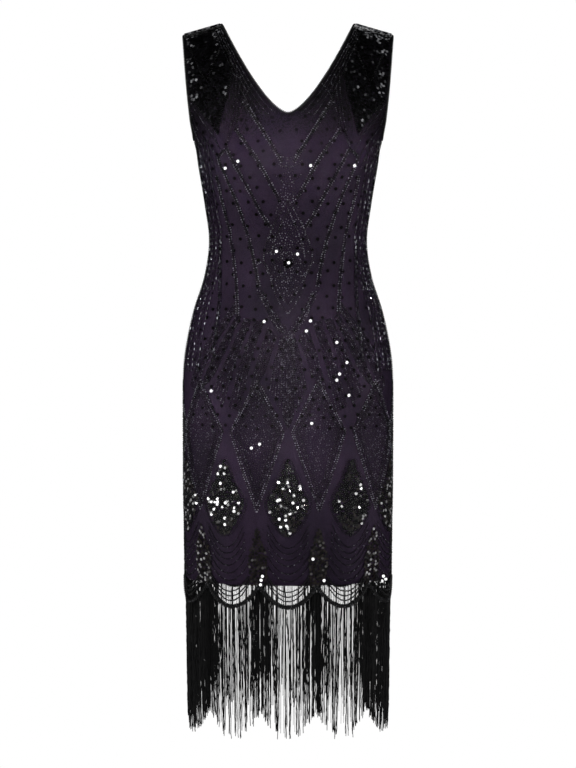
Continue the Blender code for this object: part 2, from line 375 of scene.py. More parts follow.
def panel(name, side, hem, inset, thickness, material, slot, replaced):
    """A front or back of thin cloth, from its shoulder seams to its hem, set in from the form.
    One half is laid out flat and mirrored, so the neck stays open above the V's foot."""
    rows = STRAP_ROWS + SKIRT_ROWS
    shape = bmesh.new()
    bmesh.ops.create_grid(shape, x_segments=HALF_PANEL_COLUMNS, y_segments=rows, size=1)
    flat = np.array([vert.co for vert in shape.verts])
    share = (flat[:, 0] + 1) / 2
    row = np.round((1 - flat[:, 1]) / 2 * rows)
    fall = (1 - np.cos(math.pi * np.clip(row / STRAP_ROWS, 0, 1))) / 2
    down = np.clip((row - STRAP_ROWS) / SKIRT_ROWS, 0, 1)
    strap_x, strap_z = strap_place(share, fall)
    skirt_x, skirt_z = skirt_place(share, between(UNDERARM_Z, hem(share), down))
    strap = row <= STRAP_ROWS
    for vert, x, z in zip(
        shape.verts, np.where(strap, strap_x, skirt_x), np.where(strap, strap_z, skirt_z)
    ):
        vert.co = (x, 0, z)
    whole = shape.verts[:] + shape.edges[:] + shape.faces[:]
    bmesh.ops.mirror(shape, geom=whole, merge_dist=WELD_DISTANCE, axis="X")
    places = np.array([vert.co for vert in shape.verts])
    points, _ = on_dress(side, places[:, 0], places[:, 2], -inset)
    for vert, point in zip(shape.verts, points):
        vert.co = point
    bmesh.ops.recalc_face_normals(shape, faces=shape.faces)
    middle = max(shape.faces, key=lambda face: side * face.calc_center_median().y)
    if middle.normal.y * side < 0:
        bmesh.ops.reverse_faces(shape, faces=shape.faces)
    mesh = bpy.data.meshes.new(name)
    shape.to_mesh(mesh)
    shape.free()
    to_seam = mesh.attributes.new("to_seam", "FLOAT", "POINT")
    to_seam.data.foreach_set("value", np.abs(share_of(places[:, 0], places[:, 2])))
    mesh.shade_smooth()
    piece = finish_piece(name, mesh, material, slot, replaced)
    wall = piece.modifiers.new("wall", "SOLIDIFY")
    wall.thickness = thickness
    wall.offset = -1
    return piece


# Woven satin: long warp floats down the dress give it a soft sheen. Threads lie 0.12 mm apart,
# and are drawn ten times as coarse to show at all.
WARP_SPACING = 0.0012
WARP_STRETCH = 0.12
satin, satin_shader = new_material(
    "plum_polyester_satin",
    {
        "Roughness": 0.5,
        "Specular IOR Level": 0.05,
        "Sheen Weight": 0.03,
        "Sheen Roughness": 0.5,
        "Sheen Tint": hex_colour("#7a5a8c"),
    },
)
satin_place = add_node(satin, "TexCoord")
satin_cloud = add_node(
    satin, "TexNoise", {"Scale": 9.0, "Detail": 3.0}, {"Vector": (satin_place, "Object")}
)
satin_tint = add_node(
    satin,
    "ValToRGB",
    links={"Fac": (satin_cloud, "Fac")},
    stops=((0.35, "#201826"), (0.65, "#2e2334")),
)
join(satin, satin_tint, "Color", satin_shader, "Base Color")
satin_stretch = add_node(
    satin,
    "Mapping",
    {"Scale": (1 / WARP_SPACING, 1 / WARP_SPACING, WARP_STRETCH / WARP_SPACING)},
    {"Vector": (satin_place, "Object")},
)
satin_warp = add_node(
    satin, "TexNoise", {"Scale": 1.0, "Detail": 2.0}, {"Vector": (satin_stretch, "Vector")}
)
satin_bump = add_node(
    satin, "Bump", {"Strength": 0.35, "Distance": 0.0003}, {"Height": (satin_warp, "Fac")}
)
join(satin, satin_bump, "Normal", satin_shader, "Normal")

for word, side in SIDES:
    panel(
        f"satin_lining_{word}", side, lambda share: np.full(share.shape, LINING_HEM_Z),
        LINING_INSET, LINING_THICKNESS, satin, "lining", f"lining_{word}",
    )

# ---------------------------------------------------------------------------------------------
# Net overlay
# Fine black polyester tulle in a front and a back with a scalloped hem. It carries all the beads,
# so it lies close on the lining, and over its edge it is nearly clear.

NET_THICKNESS = 0.0003
NET_INSET = 0.0004
# Holes are 1 mm wide on real tulle. They are drawn wider, so that the threads show.
NET_HOLE = 0.0022
NET_THREAD_SHARE = 0.014
# Over the yoke the net is drawn closer, painted shade: its share of threads and the heights where it
# comes in
YOKE_SHADE_THREAD_SHARE = 0.2
YOKE_SHADE_TOP_Z = -0.085
YOKE_SHADE_FOOT_Z = -0.190
# Beside the side seams the net is drawn closer too, painted shade: its share of threads and the
# shares of the cloth where it comes in
SEAM_SHADE_THREAD_SHARE = 0.35
SEAM_SHADE_START = 0.93
SEAM_SHADE_END = 0.985

tulle, tulle_shader = new_material(
    "black_tulle",
    {"Base Color": hex_colour("#0b0a0c"), "Roughness": 0.65, "Specular IOR Level": 0.04},
)
tulle_place = add_node(tulle, "TexCoord")
tulle_holes = add_node(
    tulle,
    "TexVoronoi",
    {"feature": "DISTANCE_TO_EDGE", "Scale": 1 / NET_HOLE, "Randomness": 0.85},
    {"Vector": (tulle_place, "Object")},
)
# Above the bust the net is drawn closer, coming in softly: painted shade that darkens the upper chest
# and the straps
tulle_height = add_node(tulle, "SeparateXYZ", links={"Vector": (tulle_place, "Object")})
tulle_yoke_shade = add_node(
    tulle,
    "MapRange",
    {
        "interpolation_type": "SMOOTHSTEP",
        "From Min": YOKE_SHADE_FOOT_Z,
        "From Max": YOKE_SHADE_TOP_Z,
        "To Min": NET_THREAD_SHARE,
        "To Max": YOKE_SHADE_THREAD_SHARE,
    },
    {"Value": (tulle_height, "Z")},
)
# Beside the side seams, where the form turns away, the net is drawn closer: painted shade that
# darkens the dress's edges
tulle_seam = add_node(tulle, "Attribute", {"attribute_name": "to_seam"})
tulle_seam_shade = add_node(
    tulle,
    "MapRange",
    {
        "interpolation_type": "SMOOTHSTEP",
        "From Min": SEAM_SHADE_START,
        "From Max": SEAM_SHADE_END,
        "To Max": SEAM_SHADE_THREAD_SHARE,
    },
    {"Value": (tulle_seam, "Fac")},
)
tulle_share = add_node(
    tulle, "Math", {"operation": "ADD"}, {0: (tulle_yoke_shade, "Result"), 1: (tulle_seam_shade, "Result")}
)
tulle_threads = add_node(
    tulle,
    "Math",
    {"operation": "LESS_THAN"},
    {0: (tulle_holes, "Distance"), 1: (tulle_share, "Value")},
)
join(tulle, tulle_threads, "Value", tulle_shader, "Alpha")

for word, side in SIDES:
    panel(
        f"net_overlay_{word}", side, scallop_z,
        NET_INSET, NET_THICKNESS, tulle, "net", f"overlay_{word}",
    )

# ---------------------------------------------------------------------------------------------
# Bound edges
# A narrow bias strip of black satin rolled over the neckline and over each armhole, so it takes in
# the net and the lining. Seed beads sewn down its face give it a fine picot.

BINDING_RADIUS = 0.0018
BINDING_DEPTH = 0.00145
BINDING_WRAP = 0.0006
# Over this height above the underarm the binding draws in, to run smoothly into the side
TUCK_HEIGHT = 0.024
TUCKED_SHARE = -0.9
# Two rows of beads on a binding, in radians round it from its face, and how far they stand off
PICOT_TURNS = (0.35, 0.95)
PICOT_LIFT = 0.0004
PICOT_SCALE = 1.2
PICOT_TONES = (0, 0.5)
EDGE_POINTS = 49
VIEW_POINTS = 200
MM = 0.001
BEAD_SPACING = 0.0028
BEAD_LENGTH = 0.0019
BEAD_RADIUS = 0.00115
FINE_RADIUS = 0.0009


def dress_edge(side, share, mirror):
    """An edge's points and outward directions, from its lowest point up to the shoulder."""
    fall = (1 - np.cos(math.pi * np.linspace(1, 0, EDGE_POINTS))) / 2
    x, z = strap_place(np.full(fall.shape, float(share)), fall)
    return on_dress(side, -x if mirror else x, z)


def closed_edge(parts):
    """Edges joined into one loop. Each part is an edge and the slice of its points to keep."""
    points = np.concatenate([edge[0][keep] for edge, keep in parts])
    return points, np.concatenate([edge[1][keep] for edge, keep in parts])


def unit(vectors):
    return vectors / np.linalg.norm(vectors, axis=-1, keepdims=True)


def rolled_tube(name, points, radius, material, slot, *replaced, closed=True):
    """A tube through points, in a loop or with its ends capped, made a mesh."""
    curve = bpy.data.curves.new(name, "CURVE")
    curve.dimensions = "3D"
    curve.bevel_depth = radius
    curve.bevel_resolution = 2
    spline = curve.splines.new("POLY")
    spline.points.add(len(points) - 1)
    spline.use_cyclic_u = closed
    curve.use_fill_caps = not closed
    for place, point in zip(spline.points, points):
        place.co = (*point, 1)
    guide = add_object(name + "_guide", curve)
    graph = bpy.context.evaluated_depsgraph_get()
    mesh = bpy.data.meshes.new_from_object(guide.evaluated_get(graph))
    bpy.data.objects.remove(guide)
    mesh.name = name
    mesh.materials.clear()
    mesh.shade_smooth()
    return finish_piece(name, mesh, material, slot, *replaced)


Shape = namedtuple("Shape", "corners loops starts smooth")


def small_shape(build, smooth=False):
    """A small mesh made by build in a bmesh, as arrays that can be copied many times."""
    shape = bmesh.new()
    build(shape)
    corners = np.array([vert.co for vert in shape.verts])
    loops = [vert.index for face in shape.faces for vert in face.verts]
    sizes = [len(face.verts) for face in shape.faces]
    shape.free()
    starts = np.concatenate([[0], np.cumsum(sizes)[:-1]])
    return Shape(corners, np.array(loops), starts, smooth)


def join_copies(name, shape, corners, material, slot, tones, *replaced):
    """One piece of many copies of a small shape, whose corners are given copy by copy. Each copy
    has a tone of its own, and its flat layout is its own X and Y."""
    count = len(corners)
    first = np.arange(count)[:, None]
    mesh = bpy.data.meshes.new(name)
    mesh.vertices.add(count * len(shape.corners))
    mesh.vertices.foreach_set("co", corners.ravel())
    mesh.loops.add(count * len(shape.loops))
    loops = shape.loops[None] + first * len(shape.corners)
    mesh.loops.foreach_set("vertex_index", loops.ravel())
    mesh.polygons.add(count * len(shape.starts))
    starts = shape.starts[None] + first * len(shape.loops)
    mesh.polygons.foreach_set("loop_start", starts.ravel())
    flat = mesh.uv_layers.new(name="flat")
    flat.data.foreach_set("uv", np.tile(shape.corners[shape.loops, :2] / MM, (count, 1)).ravel())
    tone = mesh.attributes.new("tone", "FLOAT", "POINT")
    tone.data.foreach_set("value", np.repeat(tones, len(shape.corners)))
    mesh.update(calc_edges=True)
    mesh.validate()
    if shape.smooth:
        mesh.shade_smooth()
    else:
        mesh.shade_flat()
    return finish_piece(name, mesh, material, slot, *replaced)


def stamp(name, shape, strings, material, tones=(0, 1), scale=1.0, slot="net"):
    """Copies of a small shape along strings, each of which is points, directions along and ways
    out, for its X and its Z. The copies' tones lie anywhere from the first to the last of tones."""
    points, along, out = [np.concatenate(parts) for parts in zip(*strings)]
    out = unit(out)
    sideways = unit(np.cross(out, along))
    axes = np.stack([np.cross(sideways, out), sideways, out], 1)
    axes = axes * np.reshape(scale, (-1, 1, 1))
    corners = np.einsum("vk,nkj->nvj", shape.corners, axes) + points[:, None]
    tones = between(*tones, chance.random(len(points)))
    return join_copies(name, shape, corners, material, slot, tones)


# One source of chance for the whole dress, so that every build is the same
chance = np.random.default_rng(1925)


def round_bead(shape):
    """A rounded seed bead with its hole along X."""
    bmesh.ops.create_icosphere(shape, subdivisions=1, radius=BEAD_RADIUS)
    bmesh.ops.scale(shape, verts=shape.verts, vec=(BEAD_LENGTH / (2 * BEAD_RADIUS), 1, 1))


def bicone_bead(shape):
    """A small cut bead of twelve facets: two six-sided points foot to foot, its hole along X."""
    bmesh.ops.create_cone(
        shape, cap_ends=False, segments=6, radius1=FINE_RADIUS, radius2=0, depth=BEAD_LENGTH / 2
    )
    bmesh.ops.remove_doubles(shape, verts=shape.verts, dist=WELD_DISTANCE)
    bmesh.ops.translate(shape, verts=shape.verts, vec=(0, 0, BEAD_LENGTH / 4))
    whole = shape.verts[:] + shape.edges[:] + shape.faces[:]
    bmesh.ops.mirror(shape, geom=whole, merge_dist=WELD_DISTANCE, axis="Z")
    bmesh.ops.rotate(shape, verts=shape.verts, matrix=Matrix.Rotation(math.pi / 2, 3, "Y"))
    bmesh.ops.recalc_face_normals(shape, faces=shape.faces)


seed_bead = small_shape(round_bead, smooth=True)
fine_bead = small_shape(bicone_bead)


def lengths_along(points):
    """The length of a path up to each of its points."""
    return np.concatenate([[0], np.cumsum(np.linalg.norm(np.diff(points, axis=0), axis=1))])


def string_beads(points, out, spacing, unsteady=0.0):
    """Even places along a path, with the thread's direction, the way out and a random roll. Beads
    sewn by hand stray from it, by unsteady metres."""
    length = lengths_along(points)
    count = max(2, int(length[-1] / spacing))
    at = (np.arange(count) + 0.5) * length[-1] / count

    def read(values, places):
        return np.stack([np.interp(places, length, values[:, axis]) for axis in range(3)], -1)

    place = read(points, at)
    face = unit(read(out, at))
    along = unit(read(points, at + spacing / 2) - read(points, at - spacing / 2))
    place += np.cross(along, face) * chance.normal(0, 1, count)[:, None] * unsteady
    roll = chance.uniform(0, 2 * math.pi, count)[:, None]
    turned = face * np.cos(roll) + np.cross(along, face) * np.sin(roll)
    return place, along, turned


def toned_material(name, values, *stops):
    """A material, its shader, and a colour ramp that each copy of a small shape reads with its own
    tone, so that beads and sequins of one string differ as real ones do. Where a ramp runs up to
    light tones, those are painted glints."""
    material, shader = new_material(name, values)
    tone = add_node(material, "Attribute", {"attribute_name": "tone"})
    ramp = add_node(material, "ValToRGB", links={"Fac": (tone, "Fac")}, stops=stops)
    return material, shader, ramp


# Jet glass: cut black beads with a gunmetal lustre. The ramp's light tones are painted glints: beads
# of a light base colour stand in for facets that catch the light
jet, jet_shader, jet_tone_and_glint_ramp = toned_material(
    "gunmetal_cut_glass",
    {"Metallic": 0.5, "Roughness": 0.34, "Specular IOR Level": 0.4},
    (0.5, "#0a0a0c"),
    (0.95, "#a6a6b0"),
)
join(jet, jet_tone_and_glint_ramp, "Color", jet_shader, "Base Color")

# Black satin bias strip: a close weave on the slant, drawn 2 mm coarse to show at all
bias, bias_shader = new_material(
    "black_bias_satin",
    {"Base Color": hex_colour("#070708"), "Roughness": 0.6, "Specular IOR Level": 0.2},
)
bias_place = add_node(bias, "TexCoord")
bias_twill = add_node(
    bias,
    "TexWave",
    {"bands_direction": "DIAGONAL", "Scale": 160.0, "Distortion": 1.0},
    {"Vector": (bias_place, "Object")},
)
bias_bump = add_node(
    bias, "Bump", {"Strength": 0.4, "Distance": 0.0002}, {"Height": (bias_twill, "Fac")}
)
join(bias, bias_bump, "Normal", bias_shader, "Normal")

# The two edges in the front view, from their lowest points up, as (x, z)
view_falls = np.linspace(1, 0, VIEW_POINTS)
NECK_LINE = np.stack(strap_place(np.zeros(VIEW_POINTS), view_falls), -1)
ARMHOLE_LINE = np.stack(strap_place(np.ones(VIEW_POINTS), view_falls), -1)
neck_edge = closed_edge(
    [
        (dress_edge(FRONT, 0, False), slice(None)),
        (dress_edge(BACK, 0, False), slice(-2, None, -1)),
        (dress_edge(BACK, 0, True), slice(1, None)),
        (dress_edge(FRONT, 0, True), slice(-2, 0, -1)),
    ]
)
arm_edges = [
    closed_edge(
        [
            (dress_edge(FRONT, 1, mirror), slice(None)),
            (dress_edge(BACK, 1, mirror), slice(-2, 0, -1)),
        ]
    )
    for mirror in (False, True)
]
bound_edges = (
    ("neck_binding", neck_edge, -1),
    ("armhole_binding_left", arm_edges[0], 1),
    ("armhole_binding_right", arm_edges[1], -1),
)
picots = []
for node_name, (points, out), cloth_side in bound_edges:
    along = unit(np.roll(points, -1, 0) - np.roll(points, 1, 0))
    away = unit(np.cross(along, out)) * cloth_side
    above = np.clip((points[:, 2:] - UNDERARM_Z) / TUCK_HEIGHT, 0, 1)
    reach = between(TUCKED_SHARE, 1, above * above * (3 - 2 * above))
    middle = points + away * reach * (BINDING_RADIUS - BINDING_WRAP) - out * BINDING_DEPTH
    rolled_tube(f"satin_{node_name}", middle, BINDING_RADIUS, bias, "binding", node_name)
    for turn in PICOT_TURNS:
        face = out * math.cos(turn) + away * math.sin(turn)
        rest = middle + face * (BINDING_RADIUS + PICOT_LIFT)
        closed = np.concatenate([rest, rest[:1]])
        picots.append(string_beads(closed, np.concatenate([out, out[:1]]), BEAD_SPACING))
stamp("binding_beads", fine_bead, picots, jet, PICOT_TONES, PICOT_SCALE, "binding")

# ---------------------------------------------------------------------------------------------
# Bodice chevrons
# Strings of cut seed beads sewn to the net in long slanting rows, most of them double, that hang
# from the straps and the sides and point at the middle of the waist. The back has them too.

# A double row is two strings of large beads with two finer ones between them, in millimetres
ROW_OFFSETS = (-2.2, 2.2)
ROW_SPACING = 0.0034
ROW_SCALE = 0.88
ROW_TONES = (0.3, 1)
CORE_OFFSETS = (-0.7, 0.7)
CORE_SCALE = 1.25
CORE_TONES = (0, 0.55)
FINE_SPACING = 0.0028
FINE_TONES = (0.1, 0.72)
BEAD_LIFT = 0.0006
UNSTEADY = 0.0003
LINE_POINTS = 60

# Each knot is (millimetres out from the centre, height in millimetres)
DOUBLE_ROWS = (
    ((66, -116), (42, -154), (20, -190), (8, -210)),
    ((77, -159), (50, -198), (34, -225), (22, -247), (13, -262)),
    ((91, -187), (76, -216), (58, -248), (42, -278), (26, -303)),
    ((92, -187), (103, -202), (92, -230), (76, -266), (65, -298), (55, -332), (49, -358), (43, -392)),
    ((106, -225), (99, -262), (90, -300), (83, -338), (79, -368), (76, -405), (75, -432)),
)
SINGLE_ROWS = (
    ((66, -116), (59, -100), (50, -90)),
    ((76, -62), (77, -93), (80, -124), (86, -160), (92, -187)),
    ((64, -87), (68, -115), (74, -140), (77, -158)),
    ((70, -76), (73, -108), (79, -146), (90, -184)),
    ((146, -115), (129, -141), (111, -167), (96, -196)),
    ((147, -126), (138, -150), (122, -173), (104, -200)),
    ((146, -142), (136, -168), (120, -190), (108, -216)),
    ((140, -150), (135, -180), (124, -212), (112, -240)),
    ((26, -190), (12, -200), (0, -204)),
    ((22, -206), (10, -214), (0, -217)),
    ((20, -226), (9, -236), (0, -240)),
)
# Rows along the neck's edge, as shares of the way to the armhole, and the falls they run between
NECK_ROWS = (0.06, 0.115, 0.17, 0.225)
NECK_ROW_FALLS = (0.08, 0.97)


def smooth_row(knots, cuts=12):
    """A smooth line through knots."""
    knots = np.array(knots, float)
    ends = [2 * knots[0] - knots[1]], [2 * knots[-1] - knots[-2]]
    knots = np.vstack([ends[0], knots, ends[1]])
    t = np.linspace(0, 1, cuts, endpoint=False)[:, None]
    line = []
    for a, b, c, d in zip(knots, knots[1:], knots[2:], knots[3:]):
        bend = (c - a) * t + (2 * a - 5 * b + 4 * c - d) * t**2 + (3 * b - a - 3 * c + d) * t**3
        line.append(b + bend / 2)
    return np.vstack([*line, knots[-2:-1]])


def sewn_row(side, line, spacing, offset, mirror):
    """A string of beads beside a line of (x, z) in millimetres on the dress, or beside its mirror
    image where mirror is -1."""
    x, z = line[:, 0] * MM * mirror, line[:, 1] * MM
    reach = at_height(z, "half_width") * WIDTH_SHARE
    points, out = on_dress(side, np.clip(x, -reach, reach), z, BEAD_LIFT)
    ahead = np.gradient(points, axis=0)
    sideways = unit(np.cross(out, ahead))
    return string_beads(points + sideways * offset * MM, out, spacing, UNSTEADY)


def sew(side, lines, spacing=BEAD_SPACING, offsets=(0,), mirrors=(1, -1)):
    """The strings of beads of some lines and of their mirror images, or of the lines alone where
    mirrors is [1]."""
    return [
        sewn_row(side, line, spacing, offset, mirror)
        for line in lines
        for mirror in mirrors
        for offset in offsets
    ]


double_lines = [smooth_row(knots) for knots in DOUBLE_ROWS]
single_lines = [smooth_row(knots) for knots in SINGLE_ROWS]
neck_falls = np.linspace(*NECK_ROW_FALLS, LINE_POINTS)
for neck_share in NECK_ROWS:
    neck_shares = np.full(LINE_POINTS, neck_share)
    single_lines.append(np.stack(strap_place(neck_shares, neck_falls), -1) / MM)
for word, side in SIDES:
    doubled = sew(side, double_lines, ROW_SPACING, ROW_OFFSETS)
    stamp(f"{word}_chevron_rows", seed_bead, doubled, jet, ROW_TONES, ROW_SCALE)
    cores = sew(side, double_lines, FINE_SPACING, CORE_OFFSETS)
    stamp(f"{word}_chevron_cores", fine_bead, cores, jet, CORE_TONES, CORE_SCALE)
    single = sew(side, single_lines, FINE_SPACING)
    stamp(f"{word}_chevron_fine_rows", fine_bead, single, jet, FINE_TONES)

# ---------------------------------------------------------------------------------------------
# Side rows
# Straight rows of silver-lined bugle beads down each side, which catch the light, with fine rows
# of black seed beads packed between them and towards the side seams. A narrow rolled seam joins
# the front and the back at each side.

BUGLE_LENGTH = 0.0036
BUGLE_RADIUS = 0.00085
BUGLE_SPACING = 0.0078
BUGLE_SHARES = (0.68, 0.75, 0.82, 0.885)
PACKED_SHARES = (0.715, 0.785, 0.85, 0.915)
SEAM_SHARES = (0.942, 0.968, 0.99)
PACKED_TONES = (0.1, 0.64)
SEAM_TONES = (0, 0.5)
SIDE_ROWS_TOP = -168
SIDE_ROWS_FOOT = -520
SEAM_ROWS_FOOT = -832
SEAM_ROLL_RADIUS = 0.0011
SEAM_ROLL_INSET = 0.0010
SEAM_ROLL_TOP = UNDERARM_Z - 0.002
# Bead rows reach this share of the way to the side seams at most
CLOTH_LIMIT = 0.998
# A row that runs straight down where the side rows begin to spread over the hip
STRAIGHT_ROW = ((103, -318), (102, -372), (103, -415), (108, -460), (113, -505))
STRAIGHT_OFFSETS = (-2.6, 2.6)


def cut_bugle(shape):
    """A six-sided tube bead along X."""
    bmesh.ops.create_cone(
        shape, cap_ends=True, segments=6, radius1=BUGLE_RADIUS, radius2=BUGLE_RADIUS,
        depth=BUGLE_LENGTH,
    )
    bmesh.ops.rotate(shape, verts=shape.verts, matrix=Matrix.Rotation(math.pi / 2, 3, "Y"))


bugle = small_shape(cut_bugle)


def on_cloth(shares, z):
    """Shares of the cloth at heights in millimetres, as (x, z), up to the limit at the seams."""
    keep = np.abs(shares) <= CLOTH_LIMIT
    return np.stack([across(shares[keep], z[keep] * MM) / MM, z[keep]], -1)


def side_lines(shares, foot):
    """Lines down the side of the dress, each at one share of the cloth."""
    z = np.linspace(SIDE_ROWS_TOP, foot, LINE_POINTS)
    return [on_cloth(np.full(LINE_POINTS, share), z) for share in shares]


# Silver-lined glass: the lining of the hole shines through clear glass, brighter than jet
silver_lined, silver_shader, silver_ramp = toned_material(
    "silver_lined_glass",
    {"Metallic": 0.7, "Roughness": 0.25, "Coat Weight": 0.2},
    (0.5, "#141518"),
    (0.9, "#787a80"),
)
join(silver_lined, silver_ramp, "Color", silver_shader, "Base Color")

for word, side in SIDES:
    bugles, packed, seams = [], [], []
    for mirror in (1, -1):
        for line in side_lines(BUGLE_SHARES, SIDE_ROWS_FOOT):
            bugles.append(sewn_row(side, line, BUGLE_SPACING, chance.uniform(-1, 1), mirror))
        packed_lines = side_lines(PACKED_SHARES, SIDE_ROWS_FOOT)
        packed += sew(side, packed_lines, FINE_SPACING, mirrors=[mirror])
        seam_lines = side_lines(SEAM_SHARES, SEAM_ROWS_FOOT)
        seams += sew(side, seam_lines, FINE_SPACING, mirrors=[mirror])
    straight = [smooth_row(STRAIGHT_ROW)]
    bugles += sew(side, straight, BUGLE_SPACING)
    packed += sew(side, straight, FINE_SPACING, STRAIGHT_OFFSETS)
    stamp(f"{word}_side_bugles", bugle, bugles, silver_lined)
    stamp(f"{word}_side_rows", fine_bead, packed, jet, PACKED_TONES, CORE_SCALE)
    stamp(f"{word}_seam_rows", fine_bead, seams, jet, SEAM_TONES)

seam_z = np.linspace(SEAM_ROLL_TOP, SCALLOP_TOP_Z, LINE_POINTS)
for word, sense in (("left", 1), ("right", -1)):
    seam_x = sense * (at_height(seam_z, "half_width") - SEAM_ROLL_INSET)
    seam_line = np.stack([seam_x, np.zeros(LINE_POINTS), seam_z], -1)
    rolled_tube(f"side_seam_{word}", seam_line, SEAM_ROLL_RADIUS, bias, "net", closed=False)

# ---------------------------------------------------------------------------------------------
# Waist lozenge
# A long diamond of bead rows at the middle of the waist, filled with scattered beads round a
# flower of black sequins, and below it a plain band of net between two beaded Vs.

LOZENGE_ROWS = (
    ((0, -262), (13, -285), (24, -306), (33, -330), (36, -350), (30, -372)),
    ((0, -277), (9, -296), (18, -318), (24, -338), (25, -350)),
    ((46, -359), (40, -355), (32, -359), (27, -373), (23, -390), (18, -404), (10, -419), (0, -431)),
    ((17, -392), (8, -408), (0, -419)),
    ((38, -400), (28, -420), (17, -440), (8, -453), (0, -461)),
    ((41, -404), (31, -424), (20, -444), (10, -458), (0, -466)),
)
# Right halves of the outlines of three zones of scattered beads: the lozenge, the net above it,
# and the lower V. Each has the distance between its beads, in millimetres.
FILLED_ZONES = (
    (((0, -338), (12, -344), (24, -356), (28, -368), (22, -384), (12, -396), (0, -412)), 2.6),
    (
        (
            (0, -205), (8, -225), (13, -262), (20, -290), (28, -318), (31, -342), (12, -344),
            (0, -340),
        ),
        3.0,
    ),
    (((0, -456), (22, -426), (36, -398), (47, -396), (30, -432), (14, -458), (0, -474)), 2.8),
)
LOZENGE_TONES = (0.15, 0.85)
FILL_TONES = (0.1, 0.84)
FLOWER_PLACE = (0, -357)
FLOWER_LIFT = 0.0016
PETALS = 7
PETAL_REACH = 5.2
# Lean and unsteadiness of a sequin that is sewn flat, in degrees
SEWN_FLAT = (0, 4)
DOT_TONES = (0, 0.3)
SEQUIN_RADIUS = 0.0024
SEQUIN_THICKNESS = 0.0002
SEQUIN_LIFT = 0.0009
FAR_AWAY = 9.0


def cut_sequin(shape, sides):
    """A flat disc."""
    bmesh.ops.create_cone(
        shape, cap_ends=True, segments=sides, radius1=SEQUIN_RADIUS, radius2=SEQUIN_RADIUS,
        depth=SEQUIN_THICKNESS,
    )


sequin = small_shape(lambda shape: cut_sequin(shape, 8))
# Sequins sewn so close that their outlines hardly show have six sides
scrap = small_shape(lambda shape: cut_sequin(shape, 6))


def inside(spots, outline):
    """Which spots lie inside an outline."""
    x, z = spots[:, :1], spots[:, 1:]
    after = np.roll(outline, -1, 0)
    crosses = (outline[:, 1] > z) != (after[:, 1] > z)
    # The last number keeps a level edge, which nothing crosses, from dividing by 0
    slope = (after[:, 0] - outline[:, 0]) / (after[:, 1] - outline[:, 1] + 1e-9)
    return np.sum(crosses & (x < outline[:, 0] + (z - outline[:, 1]) * slope), 1) % 2 == 1


def both_halves(half):
    """A whole outline, from its right half and the mirror image of that."""
    return [*half, *((-x, z) for x, z in half[-2:0:-1])]


def strew(side, outline, pitch, tries=12):
    """Irregular places inside an outline of (x, z) in millimetres, none nearer than pitch. Tries
    are those for each place that the outline's box has room for."""
    outline = np.array(outline, float)
    low, high = outline.min(0), outline.max(0)
    spots = chance.uniform(low, high, (int(tries * np.prod((high - low) / pitch)), 2))
    spots = spots[inside(spots, outline)] * MM
    points, _ = on_dress(side, spots[:, 0], spots[:, 1])
    held = np.full((len(points), 3), FAR_AWAY)
    kept = []
    for number, point in enumerate(points):
        away = held[: len(kept) + 1] - point
        if np.einsum("ij,ij->i", away, away).min() > (pitch * MM) ** 2:
            held[len(kept)] = point
            kept.append(number)
    return spots[kept]


def upward(out):
    """The direction up the cloth, at right angles to the way out."""
    return unit(np.array([0, 0, 1]) - out * out[:, 2:])


def lay_beads(side, spots):
    """Scattered beads that lie every way on the net."""
    points, out = on_dress(side, spots[:, 0], spots[:, 1], BEAD_LIFT)
    up = upward(out)
    turn = chance.uniform(0, 2 * math.pi, len(spots))[:, None]
    return points, up * np.cos(turn) + np.cross(out, up) * np.sin(turn), out


def lay_sequins(side, spots, lean, unsteady, lift=SEQUIN_LIFT):
    """Sequins whose lower edges stand off the net by lean degrees, more or less."""
    points, out = on_dress(side, spots[:, 0], spots[:, 1], lift)
    up = upward(out)
    back = np.radians(chance.normal(lean, unsteady, len(spots)))[:, None]
    sway = np.radians(chance.normal(0, unsteady, len(spots)))[:, None]
    face = unit(out + up * np.tan(back) + np.cross(up, out) * np.tan(sway))
    return points, up, face


# Black polyester sequin: a flat disc with a mirror gloss and a dark sewing hole in its middle,
# whose radius is in millimetres, as the flat layout is
HOLE_RADIUS = 0.42
sequin_film, film_shader, film_ramp = toned_material(
    "black_gloss_polyester_film",
    {"Metallic": 0.1, "Specular IOR Level": 1.0, "IOR": 1.85},
    (0, "#020203"),
    (1, "#0a0a0c"),
)
film_flat = add_node(sequin_film, "UVMap", {"uv_map": "flat"})
film_radius = add_node(
    sequin_film, "VectorMath", {"operation": "LENGTH"}, {0: (film_flat, "UV")}
)
film_hole = add_node(
    sequin_film, "Math", {"operation": "LESS_THAN", 1: HOLE_RADIUS}, {0: (film_radius, "Value")}
)
film_colour = add_node(
    sequin_film,
    "Mix",
    {"data_type": "RGBA", 7: hex_colour("#020202")},
    {0: (film_hole, "Value"), 6: (film_ramp, "Color")},
)
join(sequin_film, film_colour, 2, film_shader, "Base Color")
film_rough = add_node(
    sequin_film, "MapRange", {"To Min": 0.1, "To Max": 0.6}, {"Value": (film_hole, "Value")}
)
join(sequin_film, film_rough, "Result", film_shader, "Roughness")

# Worn black film: the same sequins with their gloss rubbed off, so they read as black dots.
# Those of the highest tones read as scraps of grey, which are painted glints.
dull_film, dull_shader, dull_glint_ramp = toned_material(
    "dull_black_polyester_film",
    {"Roughness": 0.6, "Specular IOR Level": 0.02},
    (0.3, "#030303"),
    (0.8, "#1c1c1f"),
    (1, "#d4d5da"),
)
# A noise on each sequin breaks its grey, a painted glint, into scraps
dull_flat = add_node(dull_film, "UVMap", {"uv_map": "flat"})
dull_glint_breakup = add_node(dull_film, "TexNoise", {"Scale": 1.3}, {"Vector": (dull_flat, "UV")})
dull_glint_mask = add_node(
    dull_film, "MapRange", {"From Min": 0.46, "From Max": 0.54}, {"Value": (dull_glint_breakup, "Fac")}
)
dull_colour = add_node(
    dull_film,
    "Mix",
    {"data_type": "RGBA", 6: hex_colour("#030303")},
    {0: (dull_glint_mask, "Result"), 7: (dull_glint_ramp, "Color")},
)
join(dull_film, dull_colour, 2, dull_shader, "Base Color")

